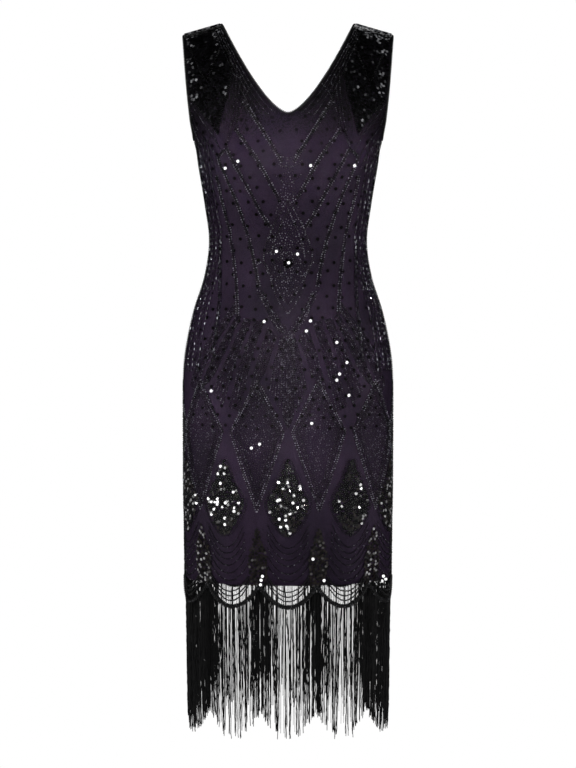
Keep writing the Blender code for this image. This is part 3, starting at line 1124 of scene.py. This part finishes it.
for word, side in SIDES:
    rows = sew(side, [smooth_row(knots) for knots in LOZENGE_ROWS])
    stamp(f"{word}_lozenge_rows", seed_bead, rows, jet, LOZENGE_TONES, ROW_SCALE)
    fill = [strew(side, both_halves(half), pitch) for half, pitch in FILLED_ZONES]
    laid = lay_beads(side, np.concatenate(fill))
    stamp(f"{word}_lozenge_beads", fine_bead, [laid], jet, FILL_TONES)
    turns = np.arange(PETALS) * 2 * math.pi / PETALS
    petals = np.stack([np.cos(turns), np.sin(turns)], -1) * PETAL_REACH + FLOWER_PLACE
    laid = lay_sequins(side, petals * MM, *SEWN_FLAT, FLOWER_LIFT)
    stamp(f"{word}_flower", sequin, [laid], dull_film, DOT_TONES)

# ---------------------------------------------------------------------------------------------
# Shoulder sequins
# Black sequins sewn close together over each shoulder, in front and behind, down to a point beside
# the bust, with a beaded V laid over them. Clumps of grey sequins near the seam and the armhole
# are painted glints.

SHOULDER_ZONE = (
    (96, 20), (92, -26), (84, -66), (88, -93), (99, -135), (105, -161), (117, -144), (140, -116),
    (152, -102), (170, -60), (170, 20),
)
SHOULDER_PITCH = 3.3
SHOULDER_TRIES = 60
SHOULDER_LEAN = (14, 12)
SHOULDER_OFFSETS = (-0.9, 0.9)
UNDER_SEAM = 0.0035
BESIDE_BINDING = 0.0028
SEAM_SEQUINS = 26
SEAM_SEQUIN_LIFT = 0.0012
SEAM_SEQUIN_TILT = 2.0
SEAM_SEQUIN_SWAY = 0.2
# Grey sequins, painted glints where light catches the top of the shoulder and the armhole's
# edge, lie in clumps, most of them within these distances of the seam or the armhole
GLINT_CLUMPS = 18
GLINT_CLUMP_REACH = 0.0058
RIM_UNDER_SEAM = 0.024
RIM_BESIDE_ARMHOLE = 0.012
RIM_DRAW = 7
GLOSSY_TONES = (0, 0.85)
GLINT_TONES = (0.5, 1)
SHOULDER_LINES = (
    ((149, -30), (136, -57), (123, -82), (111, -58), (101, -31)),
    ((92, -26), (84, -66), (88, -93), (99, -135), (105, -165)),
    ((150, -104), (140, -116), (117, -144), (105, -165)),
)

for word, side in SIDES:
    spots, worn_and_glinting = [], []
    for mirror in (1, -1):
        outline = [(x * mirror, z) for x, z in SHOULDER_ZONE]
        found = strew(side, outline, SHOULDER_PITCH, SHOULDER_TRIES)
        x, z = np.abs(found[:, 0]), found[:, 1]
        under = shoulder_z(x) - z
        armhole = np.interp(z, ARMHOLE_LINE[:, 1], ARMHOLE_LINE[:, 0])
        neck = np.interp(z, NECK_LINE[:, 1], NECK_LINE[:, 0])
        keep = (under > UNDER_SEAM) & (x < armhole - BESIDE_BINDING) & (x > neck + BESIDE_BINDING)
        found = found[keep]
        # Clumps gather at the rim, by the seam and the armhole, where light catches: there the grey
        # is painted glint
        rim = (under < RIM_UNDER_SEAM) | (x > armhole - RIM_BESIDE_ARMHOLE)
        draw = np.where(rim[keep], RIM_DRAW, 1)
        clumps = found[chance.choice(len(found), GLINT_CLUMPS, replace=False, p=draw / draw.sum())]
        away = np.linalg.norm(found[:, None] - clumps, axis=-1).min(1)
        spots.append(found)
        worn_and_glinting.append(away < GLINT_CLUMP_REACH)
    laid = lay_sequins(side, np.concatenate(spots), *SHOULDER_LEAN)
    # One row of grey sequins, painted glints, lies over the seam on top of the shoulder
    seam = np.linspace(NECK_HALF + MM, SHOULDER_TIP_X - MM, SEAM_SEQUINS)
    seam = np.concatenate([seam, -seam])
    over = np.full(len(seam), side * SEAM_SEQUIN_LIFT)
    top = np.stack([seam, over, shoulder_z(seam) + SEAM_SEQUIN_LIFT], -1)
    face = np.array([0, side * SEAM_SEQUIN_TILT, 1.0])
    face = unit(face + chance.normal(0, SEAM_SEQUIN_SWAY, top.shape))
    along = np.tile([1.0, 0, 0], (len(seam), 1))
    worn_and_glinting = np.concatenate([*worn_and_glinting, np.ones(len(top), bool)])
    # Clumped sequins take grey tones, painted glints; the rest stay near black
    tones = [np.where(worn_and_glinting, *ends) for ends in zip(GLINT_TONES, GLOSSY_TONES)]
    stamp(f"{word}_shoulder_sequins", scrap, [laid, (top, along, face)], dull_film, tones)
    rows = sew(side, [smooth_row(knots) for knots in SHOULDER_LINES], offsets=SHOULDER_OFFSETS)
    stamp(f"{word}_shoulder_rows", fine_bead, rows, jet, CORE_TONES)

# ---------------------------------------------------------------------------------------------
# Hip fan
# Fine rows of black seed beads that spread from below the waist over the hips in rays, like a fan,
# and a shield of upright rows between its halves. Plain net shows between the rays.

FAN_GUIDES = (
    ((0.015, -472), (0.045, -520), (0.065, -578)),
    ((0.09, -463), (0.145, -500), (0.185, -524)),
    ((0.20, -444), (0.28, -508), (0.35, -578)),
    ((0.29, -440), (0.385, -505), (0.47, -567)),
    ((0.37, -436), (0.505, -508), (0.59, -535)),
    ((0.41, -425), (0.575, -488), (0.71, -556)),
    ((0.45, -408), (0.64, -462), (0.80, -530)),
)
# Rows of a ray, as shares of the way from one guide to the next; the rest of the way is plain
FAN_RAY = (0, 0.15, 0.3, 0.45, 0.6)
FAN_TONES = (0, 0.72)
FAN_SCALE = 1.25
# Upright rows of the shield: share of the cloth, top and foot. They draw in towards the foot.
SHIELD_ROWS = (
    (0.0, -468, -602), (0.012, -468, -600), (0.024, -468, -596), (0.036, -466, -592),
    (0.048, -466, -587),
)
SHIELD_DRAW = 0.8


def cloth_line(knots):
    """A smooth line through knots of (share of the cloth, height), as (x, z) in millimetres."""
    return on_cloth(*smooth_row(knots).T)


guides = np.array(FAN_GUIDES)
fan = []
for guide, following in zip(guides, guides[1:]):
    fan += [cloth_line(between(guide, following, place)) for place in FAN_RAY]
for share, top, foot in SHIELD_ROWS:
    fan.append(cloth_line(((share, top), (share, (top + foot) / 2), (share * SHIELD_DRAW, foot))))
for word, side in SIDES:
    stamp(f"{word}_fan_rows", fine_bead, sew(side, fan, FINE_SPACING), jet, FAN_TONES, FAN_SCALE)

# ---------------------------------------------------------------------------------------------
# Skirt lattice
# Large diamonds of beads round the hips, five to each panel, with plain bands of net between them,
# and under them kites of black sequins, one over each scallop of the hem.

DIAMOND_SHARES = (-1.0, -0.6, -0.2, 0.2, 0.6, 1.0)
DIAMOND_HALF_SHARE = 0.2
# Sizes of the rows in one diamond, as shares of the whole
EDGE_SIZES = (0.97, 0.89)
FINE_SIZES = (0.93, 0.8, 0.7)
DIAMOND_BULGE = 0.96
# Loose beads fill a diamond to this share of its width, and to these distances of its tips
FILL_WIDTH = 0.8
FILL_BELOW_TOP = 14
FILL_ABOVE_FOOT = 18
FILL_PITCH = 2.6
DIAMOND_FILL_TONES = (0, 0.74)
DIAMOND_TOP = -527
DIAMOND_SIDE = -607
DIAMOND_FOOT = -732
KITE_SHARES = (-0.8, -0.4, 0.0, 0.4, 0.8)
# The pattern leans in from the scallops as it rises from the hem
LEAN = 0.062
LEAN_TOP_Z = -0.740
HEM_FOOT_Z = -0.872
# Half of a kite's outline, as millimetres from its middle and height
KITE_HALF = (
    (0, -648), (6, -661), (13, -678), (22, -695), (29, -707), (31, -716), (27, -729),
    (19, -744), (9, -757), (0, -764),
)
KITE_MARGIN = 4.5
KITE_PITCH = 3.15
# How far the sequins of each kite lean back, in degrees, and how unsteadily
KITE_LEANS = (20, 19, 20, 26, 20)
KITE_UNSTEADY = 8.5
SCUFFED_LEAN = (5, 9)
JOINT_HALF = (
    (0, -750), (4, -760), (8, -773), (12, -787), (14, -800), (14, -813), (13, -826), (11, -838),
)
JOINT_PITCH = 3.2
JOINT_LEAN = (-10, 9)
JOINT_SCALE = 0.9
# Film has worn dull towards the foot of a kite, and beside the side seams, where it also takes
# the painted glints: chances that it has
WORN_Z = -0.735
WORN_AT_FOOT = 0.45
WORN_AND_GLINTING_AT_SIDE = 0.5
WORN_ELSEWHERE = 0.08
# Kites and scallops beyond this share are those at the sides
SIDE_SHARE = 0.7
# Highest tones of worn film, beyond this distance from the centre and within it. Towards the
# sides they reach the silvery end of the ramp, which is painted glint
BRIGHT_X = 0.105
KITE_GLEAMS = (0.9, 0.62)
JOINT_GLEAMS = (0.88, 0.69)

# Bronze-black film: worn sequins, brown-black in the middle tones; their silvery highest
# tones are painted glints
bronze_film, bronze_shader, bronze_wear_and_glint_ramp = toned_material(
    "bronze_black_polyester_film",
    {"Roughness": 0.45, "Specular IOR Level": 0.14},
    (0.12, "#020202"),
    (0.62, "#211c19"),
    (1, "#c6c6c8"),
)
join(bronze_film, bronze_wear_and_glint_ramp, "Color", bronze_shader, "Base Color")


def leaning(share, z):
    """The share at which the pattern lies, z in millimetres."""
    rise = np.clip((z * MM - HEM_FOOT_Z) / (LEAN_TOP_Z - HEM_FOOT_Z), 0, 1)
    return share + np.sign(share) * LEAN * np.sin(math.pi * share) ** 2 * rise


def outline_on(share, half):
    """A symmetrical outline on the cloth round a share, as (x, z) in millimetres."""
    half = np.array(half, float)
    both = np.vstack([half, half[::-1] * (-1, 1)])
    shares = leaning(share, both[:, 1]) + both[:, 0] * MM / HALF_HEM
    return on_cloth(np.clip(shares, -CLOTH_LIMIT, CLOTH_LIMIT), both[:, 1])


def kite_edge(share, sense):
    """A line along one side of a kite, a little way off it, as (x, z) in millimetres."""
    out, z = smooth_row(KITE_HALF, 6).T
    return on_cloth(leaning(share, z) + sense * (out + KITE_MARGIN) * MM / HALF_HEM, z)


half_diamond = DIAMOND_HALF_SHARE * HALF_HEM / MM


def diamond_edge(share, sense, size):
    """One side of a bead diamond, drawn smaller by a share of its size, as (x, z)."""
    z = np.linspace(DIAMOND_TOP, DIAMOND_FOOT, LINE_POINTS)
    up = (DIAMOND_TOP - z) / (DIAMOND_TOP - DIAMOND_SIDE)
    down = (z - DIAMOND_FOOT) / (DIAMOND_SIDE - DIAMOND_FOOT)
    reach = np.clip(np.minimum(up, down), 0, 1) ** DIAMOND_BULGE * half_diamond * size
    z = DIAMOND_SIDE + (z - DIAMOND_SIDE) * size
    return on_cloth(leaning(share, z) + sense * reach * MM / HALF_HEM, z)


# At the side seams there is only the inner half of a diamond
half_diamonds = [
    (share, sense)
    for share in DIAMOND_SHARES
    for sense in (1, -1)
    if abs(share + sense * DIAMOND_HALF_SHARE) <= 1
]
diamond_lines = [diamond_edge(*half, size) for half in half_diamonds for size in EDGE_SIZES]
fine_lines = [diamond_edge(*half, size) for half in half_diamonds for size in FINE_SIZES]
fine_lines += [kite_edge(share, sense) for share in KITE_SHARES for sense in (1, -1)]
FILL_HALF = (
    (0, DIAMOND_TOP - FILL_BELOW_TOP),
    (half_diamond * FILL_WIDTH, DIAMOND_SIDE),
    (0, DIAMOND_FOOT + FILL_ABOVE_FOOT),
)

for word, side in SIDES:
    fill = [strew(side, outline_on(share, FILL_HALF), FILL_PITCH) for share in DIAMOND_SHARES]
    edges = sew(side, diamond_lines, ROW_SPACING, mirrors=[1])
    stamp(f"{word}_diamond_rows", seed_bead, edges, jet, ROW_TONES, ROW_SCALE)
    fine = sew(side, fine_lines, FINE_SPACING, mirrors=[1])
    stamp(f"{word}_diamond_fine_rows", fine_bead, fine, jet, CORE_TONES, CORE_SCALE)
    laid = lay_beads(side, np.concatenate(fill))
    stamp(f"{word}_diamond_beads", fine_bead, [laid], jet, DIAMOND_FILL_TONES)
    glossy, scuffed_and_glinting, leans = [], [], []
    for share, lean in zip(KITE_SHARES, KITE_LEANS):
        found = strew(side, outline_on(share, KITE_HALF), KITE_PITCH)
        at_side = abs(share) > SIDE_SHARE
        worn_and_glinting = chance.random(len(found)) < (WORN_AND_GLINTING_AT_SIDE if at_side else WORN_ELSEWHERE)
        worn_and_glinting |= (found[:, 1] < WORN_Z) & (chance.random(len(found)) < WORN_AT_FOOT)
        glossy.append(found[~worn_and_glinting])
        leans.append(np.full(len(glossy[-1]), lean))
        scuffed_and_glinting.append(found[worn_and_glinting])
    laid = lay_sequins(side, np.concatenate(glossy), np.concatenate(leans), KITE_UNSTEADY)
    stamp(f"{word}_kite_sequins", sequin, [laid], sequin_film)
    laid = lay_sequins(side, np.concatenate(scuffed_and_glinting), *SCUFFED_LEAN)
    # Towards the sides the worn film reaches its silvery tones, painted glints
    gleams = np.where(np.abs(laid[0][:, 0]) > BRIGHT_X, *KITE_GLEAMS)
    stamp(f"{word}_kite_scuffed_and_glinting", scrap, [laid], bronze_film, (0, gleams))
    joints = [strew(side, outline_on(share, JOINT_HALF), JOINT_PITCH) for share in DIAMOND_SHARES]
    laid = lay_sequins(side, np.concatenate(joints), *JOINT_LEAN)
    # The joints' worn film, too, reaches painted glints towards the sides
    gleams = np.where(np.abs(laid[0][:, 0]) > BRIGHT_X, *JOINT_GLEAMS)
    stamp(f"{word}_joint_sequins", scrap, [laid], bronze_film, (0, gleams), JOINT_SCALE)

# ---------------------------------------------------------------------------------------------
# Swags
# Strings of fine beads that hang in loops between the joints, over the plain net above each
# scallop. Three more hang at and below the lining's hem, where they show as black lines.

SWAG_HALF = 0.145
# Heights of a swag's ends and of its foot
SWAGS = (
    (-746, -781), (-757, -790), (-768, -799), (-780, -808), (-792, -820), (-806, -831),
)
NET_SWAGS = ((-824, -847), (-830, -854), (-834, -861))
SWAG_SPACING = 0.0019
SWAG_TONES = (0, 0.4)
SWAG_POINTS = 41
NET_SWAG_SCALE = 1.2
# Brighter beads are strung in among the black ones; their light tones are painted glints
LIGHT_SPACING = 0.0095
LIGHT_SCALE = 0.72
LIGHT_TONES = (0.1, 1)


def hang_swags(swags):
    """Lines of (x, z) in millimetres that hang under every kite."""
    hung = []
    for share in KITE_SHARES:
        for ends, foot in swags:
            t = np.linspace(-1, 1, SWAG_POINTS)
            z = foot + (ends - foot) * t**2
            hung.append(on_cloth(leaning(share, z) + t * SWAG_HALF, z))
    return hung


for word, side in SIDES:
    hung = hang_swags(SWAGS)
    beads = sew(side, hung, SWAG_SPACING, mirrors=[1])
    stamp(f"{word}_swag_beads", fine_bead, beads, jet, SWAG_TONES)
    lights = sew(side, hung, LIGHT_SPACING, mirrors=[1])
    stamp(f"{word}_swag_lights", seed_bead, lights, jet, LIGHT_TONES, LIGHT_SCALE)
    beads = sew(side, hang_swags(NET_SWAGS), SWAG_SPACING, mirrors=[1])
    stamp(f"{word}_net_swags", seed_bead, beads, jet, SWAG_TONES, NET_SWAG_SCALE)

# ---------------------------------------------------------------------------------------------
# Single sequins
# Small flat sequins sewn one by one in staggered rows over the plain net of the bodice and hips.
# A few have worked loose enough to face the light.

# Rows of single sequins: top and foot, distance along a row and down to the next, in millimetres
DOT_ZONES = ((-108, -430, 23, 17.5), (-440, -606, 17.5, 14.5))
DOT_JITTER = 3.0
DOT_SCALE = 1.08
DOT_WIDTH_SHARE = 0.9
DOT_ROW_PLACES = np.arange(-10, 11)
DOT_FROM_NECK = 9
DOT_FROM_ARMHOLE = 8
# Sequins that stand turned to the light, as (x, z) in millimetres on the front
TURNED = (
    (-35, -443), (33, -442), (27, -457), (72, -474), (87, -504), (76, -521), (72, -530), (90, -553),
    (35, -594), (-114, -547), (-17, -339), (14, -343), (-42, -625), (-54, -631), (-73, -207),
    (-92, -216), (33, -214), (98, -212), (1, -356), (-40, -829), (-41, -836), (-38, -823),
    (37, -797), (54, -830), (143, -831), (146, -836), (141, -838),
)
TURNED_LIFT = 0.0022
KEY_PLACE = Vector((-1.3, -2.9, 0.0))


def facing_light(points):
    """Ways to face that throw the key light to the camera."""
    to_light = unit(np.array(KEY_PLACE) - points)
    return unit(to_light + unit(np.array(CAMERA_PLACE) - points))


for word, side in SIDES:
    dots = []
    for top, foot, pitch, down in DOT_ZONES:
        for row in range(int((top - foot) / down) + 1):
            z = top - row * down
            reach = at_height(z * MM, "half_width") / MM * DOT_WIDTH_SHARE
            places = DOT_ROW_PLACES * pitch + pitch / 2 * (row % 2)
            dots += [(x, z) for x in places if abs(x) < reach]
    dots = np.array(dots) + chance.uniform(-DOT_JITTER, DOT_JITTER, (len(dots), 2))
    x, z = np.abs(dots[:, 0]), dots[:, 1] * MM
    neck = np.interp(z, NECK_LINE[:, 1], NECK_LINE[:, 0]) / MM
    clear = ~inside(np.abs(dots) * (1, -1), np.array(SHOULDER_ZONE) * (1, -1))
    armhole = np.interp(z, ARMHOLE_LINE[:, 1], ARMHOLE_LINE[:, 0], right=1) / MM
    armhole = np.where(z < UNDERARM_Z, np.inf, armhole)
    dots = dots[clear & (x > neck + DOT_FROM_NECK) & (x < armhole - DOT_FROM_ARMHOLE)]
    laid = lay_sequins(side, dots * MM, *SEWN_FLAT)
    stamp(f"{word}_single_sequins", sequin, [laid], dull_film, DOT_TONES, DOT_SCALE)
turned_x, turned_z = np.array(TURNED).T * MM
points, out = on_dress(FRONT, turned_x, turned_z, TURNED_LIFT)
turned = (points, upward(out), facing_light(points))
stamp("front_turned_sequins", sequin, [turned], sequin_film)

# ---------------------------------------------------------------------------------------------
# Scallop edge and fringe
# Each scallop of the net ends in a rope of seed beads twisted round a cord, and under it hangs a
# fringe of crinkled black rayon threads. They are knotted in by threes or sixes, and spread and
# clump as they fall.

FRINGE_LENGTH = 0.195
FRINGE_UNEVEN = 0.0065
# Threads are this much shorter at the ends of a scallop, and the back's are up to this much shorter
ENDS_SHORTER = 0.012
BACK_SHORTER = 0.045
SCALLOP_HALF = 0.2
SCALLOP_STEPS = 201
# For each scallop, its number of knots and of threads in a knot
KNOTS = {
    FRONT: ((52, 3), (22, 3), (22, 3), (22, 3), (46, 3)),
    BACK: ((52, 3), (12, 6), (12, 6), (12, 6), (46, 3)),
}
# How far knots are pushed towards the ends of a scallop, where the fringe falls thickest
CROWDING = 0.085
# How far knots, roots and ends stray, as shares of the cloth; ends, for each thread in a knot
ROOT_STRAY = 0.002
END_STRAY = 0.003
# The chance that a clump of threads ends, and how much clumps draw together
CLUMP_END = 0.3
CLUMP_PULL = (0.1, 0.9)
# How early threads leave their knots' places, and shorten towards the ends of a scallop
EASE = 0.8
# At the sides some threads are knotted in above the scallop's curve
HIGH_CHANCE = 0.45
HIGH_ROOT_Z = SCALLOP_TOP_Z - 0.002
# Waves of a thread: phases, least and most radians along it, and reach as a share of the cloth
SWINGS = ((1, 3, 9, 0.0016), (2, 16, 40, 0.0007))
SWING_SHARE = (0.2, 1)
PHASE_RANGE = 6.3
THREAD_RADIUS = 0.00058
THREAD_RINGS = 24
THREAD_CRINKLE = 0.00032
THREAD_SUNK = (0.0004, 0.0024)
FINE_THREADS = 60
FINE_THREAD_RADIUS = 0.00032
FINE_THREAD_RINGS = 7
FINE_LENGTHS = (0.72, 0.98)
FINE_DRIFT = 0.004
FINE_CRINKLE = 0.0006
FINE_SUNK = 0.0016
CORD_RADIUS = 0.0028
CORD_RINGS = 28
CORD_SUNK = 0.0006
ROPE_POINTS = 240
ROPE_REACH = 0.003
ROPE_TURNS = 7
ROPE_STRINGS = 4
ROPE_SCALE = 1.2
ROPE_TONES = (0, 0.6)


def cut_tube(shape, sides, rings):
    """A closed tube of radius 1 along Z from 0 to 1, with rings along it to bend at."""
    bmesh.ops.create_cone(shape, cap_ends=True, segments=sides, radius1=1, radius2=1, depth=1)
    bmesh.ops.translate(shape, verts=shape.verts, vec=(0, 0, 0.5))
    for ring in range(1, rings):
        whole = shape.verts[:] + shape.edges[:] + shape.faces[:]
        bmesh.ops.bisect_plane(
            shape, geom=whole, plane_co=(0, 0, ring / rings), plane_no=(0, 0, 1)
        )


thread = small_shape(lambda shape: cut_tube(shape, 3, THREAD_RINGS), smooth=True)
fine_thread = small_shape(lambda shape: cut_tube(shape, 3, FINE_THREAD_RINGS), smooth=True)
cord = small_shape(lambda shape: cut_tube(shape, 6, CORD_RINGS), smooth=True)


def bend_tubes(shape, lines, outs, radius):
    """Corners of tubes along lines (copies x rings x 3), with the way out at each ring."""
    rings = lines.shape[1] - 1
    ring = np.round(shape.corners[:, 2] * rings).astype(int)
    ahead = unit(np.gradient(lines, axis=1))
    sideways = unit(np.cross(outs, ahead))
    out = np.cross(ahead, sideways)
    round_x = shape.corners[:, 0][None, :, None] * sideways[:, ring]
    round_y = shape.corners[:, 1][None, :, None] * out[:, ring]
    return lines[:, ring] + (round_x + round_y) * radius


def scallop_path(side, middle, count):
    """Even places along a scallop of the hem: shares of the cloth, and points and ways out."""
    share = np.linspace(middle - SCALLOP_HALF, middle + SCALLOP_HALF, SCALLOP_STEPS)
    share = np.clip(share, -1, 1)
    z = scallop_z(share)
    points, _ = on_dress(side, across(share, z), z)
    length = lengths_along(points)
    share = np.interp(np.linspace(0, length[-1], count), length, share)
    z = scallop_z(share)
    return share, *on_dress(side, across(share, z), z)


def bare_places(side, share, z):
    """Points of the plain form at shares of the cloth and heights, and the ways out there."""
    x = across(np.clip(share, -CLOTH_LIMIT, CLOTH_LIMIT), z)
    return np.stack([x, form_y(side, x, z), z], -1), outward(side, x, z)


def clump_together(ends):
    """Ends of threads after neighbours have drawn together in clumps."""
    clump = np.cumsum(chance.random(len(ends)) < CLUMP_END)
    centre = np.array([ends[clump == number].mean() for number in clump])
    return ends + (centre - ends) * chance.uniform(*CLUMP_PULL, clump[-1] + 1)[clump]


def hang_threads(side, middle, knots, threads):
    """Lines of the crinkled threads of a scallop, and the way out at each of their points."""
    count = knots * threads
    knot, _, _ = scallop_path(side, middle, knots + 2)
    even = np.linspace(0, 1, knots + 2)
    knot = np.interp(even - CROWDING * np.sin(2 * math.pi * even), even, knot)
    knot = np.repeat(knot[1:-1] + chance.normal(0, ROOT_STRAY, knots), threads)
    start = knot + chance.normal(0, ROOT_STRAY, count)
    end = clump_together(knot + chance.normal(0, END_STRAY * threads, count))
    curve = scallop_z(start) - CORD_RADIUS
    high = (chance.random(count) < HIGH_CHANCE) & (abs(middle) > SIDE_SHARE)
    top = np.where(high, HIGH_ROOT_Z, curve)
    from_end = 1 - ((start - middle) / SCALLOP_HALF) ** 2
    long = FRINGE_LENGTH - ENDS_SHORTER * (1 - from_end) ** EASE
    long += chance.uniform(-1, 1, count) * FRINGE_UNEVEN
    if side == BACK:
        long -= BACK_SHORTER * chance.random(count) ** 2
    t = np.linspace(0, 1, THREAD_RINGS + 1)
    z = top[:, None] - (top - curve + long)[:, None] * t
    phase = chance.uniform(0, PHASE_RANGE, count)[:, None]
    sway = sum(
        np.sin(phases * phase + t * chance.uniform(least, most, count)[:, None]) * reach
        for phases, least, most, reach in SWINGS
    )
    sway *= chance.uniform(*SWING_SHARE, count)[:, None] * t**0.5
    crinkle = chance.normal(0, THREAD_CRINKLE / HALF_HEM, z.shape) * np.minimum(1, 6 * t)
    share = start[:, None] + (end - start)[:, None] * t**EASE + sway + crinkle
    depth = chance.normal(0, THREAD_CRINKLE, z.shape)
    depth -= chance.uniform(*THREAD_SUNK, count)[:, None]
    points, out = bare_places(side, share, z)
    depth += crease_rise(side, points[..., 0], np.maximum(z, HEM_FOOT_Z))
    return points + out * depth[..., None], out


def hang_fine_threads(side, middle):
    """Lines of single fine threads that hang straight between the others, like a veil, and the
    way out at each of their points."""
    start, _, _ = scallop_path(side, middle, FINE_THREADS + 2)
    start = start[1:-1] + chance.normal(0, END_STRAY, FINE_THREADS)
    t = np.linspace(0, 1, FINE_THREAD_RINGS + 1)
    top = scallop_z(start) - CORD_RADIUS
    long = FRINGE_LENGTH * chance.uniform(*FINE_LENGTHS, FINE_THREADS)
    z = top[:, None] - long[:, None] * t
    share = start[:, None] + chance.normal(0, FINE_DRIFT, FINE_THREADS)[:, None] * t
    points, out = bare_places(side, share + chance.normal(0, FINE_CRINKLE, z.shape), z)
    return points - out * FINE_SUNK, out


def wind_rope(side, middle):
    """Strings of beads wound round the cord of a scallop."""
    _, path, path_out = scallop_path(side, middle, ROPE_POINTS)
    sideways = np.cross(path_out, unit(np.gradient(path, axis=0)))
    strings = []
    for string in range(ROPE_STRINGS):
        turns = np.linspace(0, ROPE_TURNS, ROPE_POINTS) + string / ROPE_STRINGS
        turn = 2 * math.pi * turns[:, None]
        face = path_out * np.cos(turn) + sideways * np.sin(turn)
        wound = path - path_out * CORD_SUNK + face * ROPE_REACH
        strings.append(string_beads(wound, face, BEAD_SPACING))
    return strings


# Rayon thread: twisted black floss with a faint sheen, its twist drawn 2 mm long to show
rayon, rayon_shader = new_material(
    "black_rayon_floss",
    {"Base Color": hex_colour("#0a0a0b"), "Roughness": 0.6, "Specular IOR Level": 0.12},
)
rayon_place = add_node(rayon, "TexCoord")
rayon_twist = add_node(
    rayon,
    "TexWave",
    {"bands_direction": "Z", "Scale": 160.0, "Distortion": 2.0},
    {"Vector": (rayon_place, "Object")},
)
rayon_bump = add_node(
    rayon, "Bump", {"Strength": 0.3, "Distance": 0.0002}, {"Height": (rayon_twist, "Fac")}
)
join(rayon, rayon_bump, "Normal", rayon_shader, "Normal")

trims = {FRONT: [], BACK: []}
for word, side in SIDES:
    for number, (middle, (knots, threads)) in enumerate(zip(KITE_SHARES, KNOTS[side]), 1):
        node_name = f"fringe_{word}_{number}"
        lines, out = hang_threads(side, middle, knots, threads)
        corners = bend_tubes(thread, lines, out, THREAD_RADIUS)
        fringe = join_copies(
            f"{node_name}_threads", thread, corners, rayon, "fringe",
            chance.random(len(lines)), node_name,
        )
        lines, out = hang_fine_threads(side, middle)
        corners = bend_tubes(fine_thread, lines, out, FINE_THREAD_RADIUS)
        veil = join_copies(
            f"{node_name}_fine_threads", fine_thread, corners, rayon, "fringe",
            np.zeros(FINE_THREADS),
        )
        _, path, path_out = scallop_path(side, middle, CORD_RINGS + 1)
        line = path - path_out * CORD_SUNK
        corners = bend_tubes(cord, line[None], path_out[None], CORD_RADIUS)
        tape = join_copies(f"{node_name}_cord", cord, corners, bias, "fringe", np.zeros(1))
        rope = wind_rope(side, middle)
        beads = stamp(f"{node_name}_rope", fine_bead, rope, jet, ROPE_TONES, ROPE_SCALE, "fringe")
        trims[side] += [fringe, veil, tape, beads]

# ---------------------------------------------------------------------------------------------
# Studio
# A small round pale floor under the dress and white walls. A large soft light at the front left,
# a weaker one low at the right, a tall strip at each side, three narrow beams on the bust and the
# hips, and a soft light above and behind.

FLOOR_Z = -1.38
FLOOR_RADIUS = 0.8
WALL_LIGHT = 0.03

shape = bmesh.new()
bmesh.ops.create_circle(shape, cap_ends=True, segments=96, radius=FLOOR_RADIUS)
bmesh.ops.translate(shape, verts=shape.verts, vec=(0, 0, FLOOR_Z))
floor_mesh = bpy.data.meshes.new("floor")
shape.to_mesh(floor_mesh)
shape.free()
plaster, _ = new_material("white_floor", {"Base Color": hex_colour("#f2f2f2"), "Roughness": 0.8})
floor_mesh.materials.append(plaster)
floor = add_object("floor", floor_mesh)

Lamp = namedtuple("Lamp", "name place aim width height power spread")
LAMPS = (
    Lamp("key", KEY_PLACE, (0, 0, -0.35), 1.0, 1.3, 33, 180),
    Lamp("fill", (1.6, -2.8, -0.8), (0, 0, -0.4), 1.4, 1.6, 29, 180),
    Lamp("left_side", (-2.8, -1.0, -0.5), (0, 0, -0.45), 0.6, 1.8, 36, 180),
    Lamp("right_side", (2.8, -1.0, -0.5), (0, 0, -0.45), 0.6, 1.8, 34, 180),
    Lamp("hip_pool", (-0.2, -2.9, -0.2), (0, 0, -0.54), 0.3, 0.3, 0.3, 7),
    Lamp("left_bust_pool", (-0.3, -2.9, 0.3), (-0.05, 0, -0.2), 0.1, 0.1, 0.085, 4.5),
    Lamp("right_bust_pool", (0.5, -2.9, 0.3), (0.06, 0, -0.21), 0.1, 0.1, 0.07, 4.5),
    Lamp("back", (0.5, 3.0, 1.45), (0, 0, -0.5), 1.4, 1.4, 170, 180),
)
for lamp in LAMPS:
    light = bpy.data.lights.new(lamp.name, "AREA")
    light.shape = "RECTANGLE"
    light.size = lamp.width
    light.size_y = lamp.height
    light.energy = lamp.power
    light.spread = math.radians(lamp.spread)
    aim_from(add_object(lamp.name, light), lamp.place, lamp.aim)

# The walls look white, and light the dress far less than the lamps do
world = bpy.data.worlds.new("studio")
bpy.context.scene.world = world
world.use_nodes = True
walls = world.node_tree.nodes["Background"]
walls.inputs["Color"].default_value = (1, 1, 1, 1)
walls.inputs["Strength"].default_value = WALL_LIGHT
seen = add_node(world, "Background", {"Color": (1, 1, 1, 1), "Strength": 1.0})
ray = add_node(world, "LightPath")
mixed = add_node(
    world,
    "MixShader",
    links={0: (ray, "Is Camera Ray"), 1: (walls, "Background"), 2: (seen, "Background")},
)
join(world, mixed, "Shader", world.node_tree.nodes["World Output"], "Surface")
bpy.context.scene.view_settings.view_transform = "Standard"
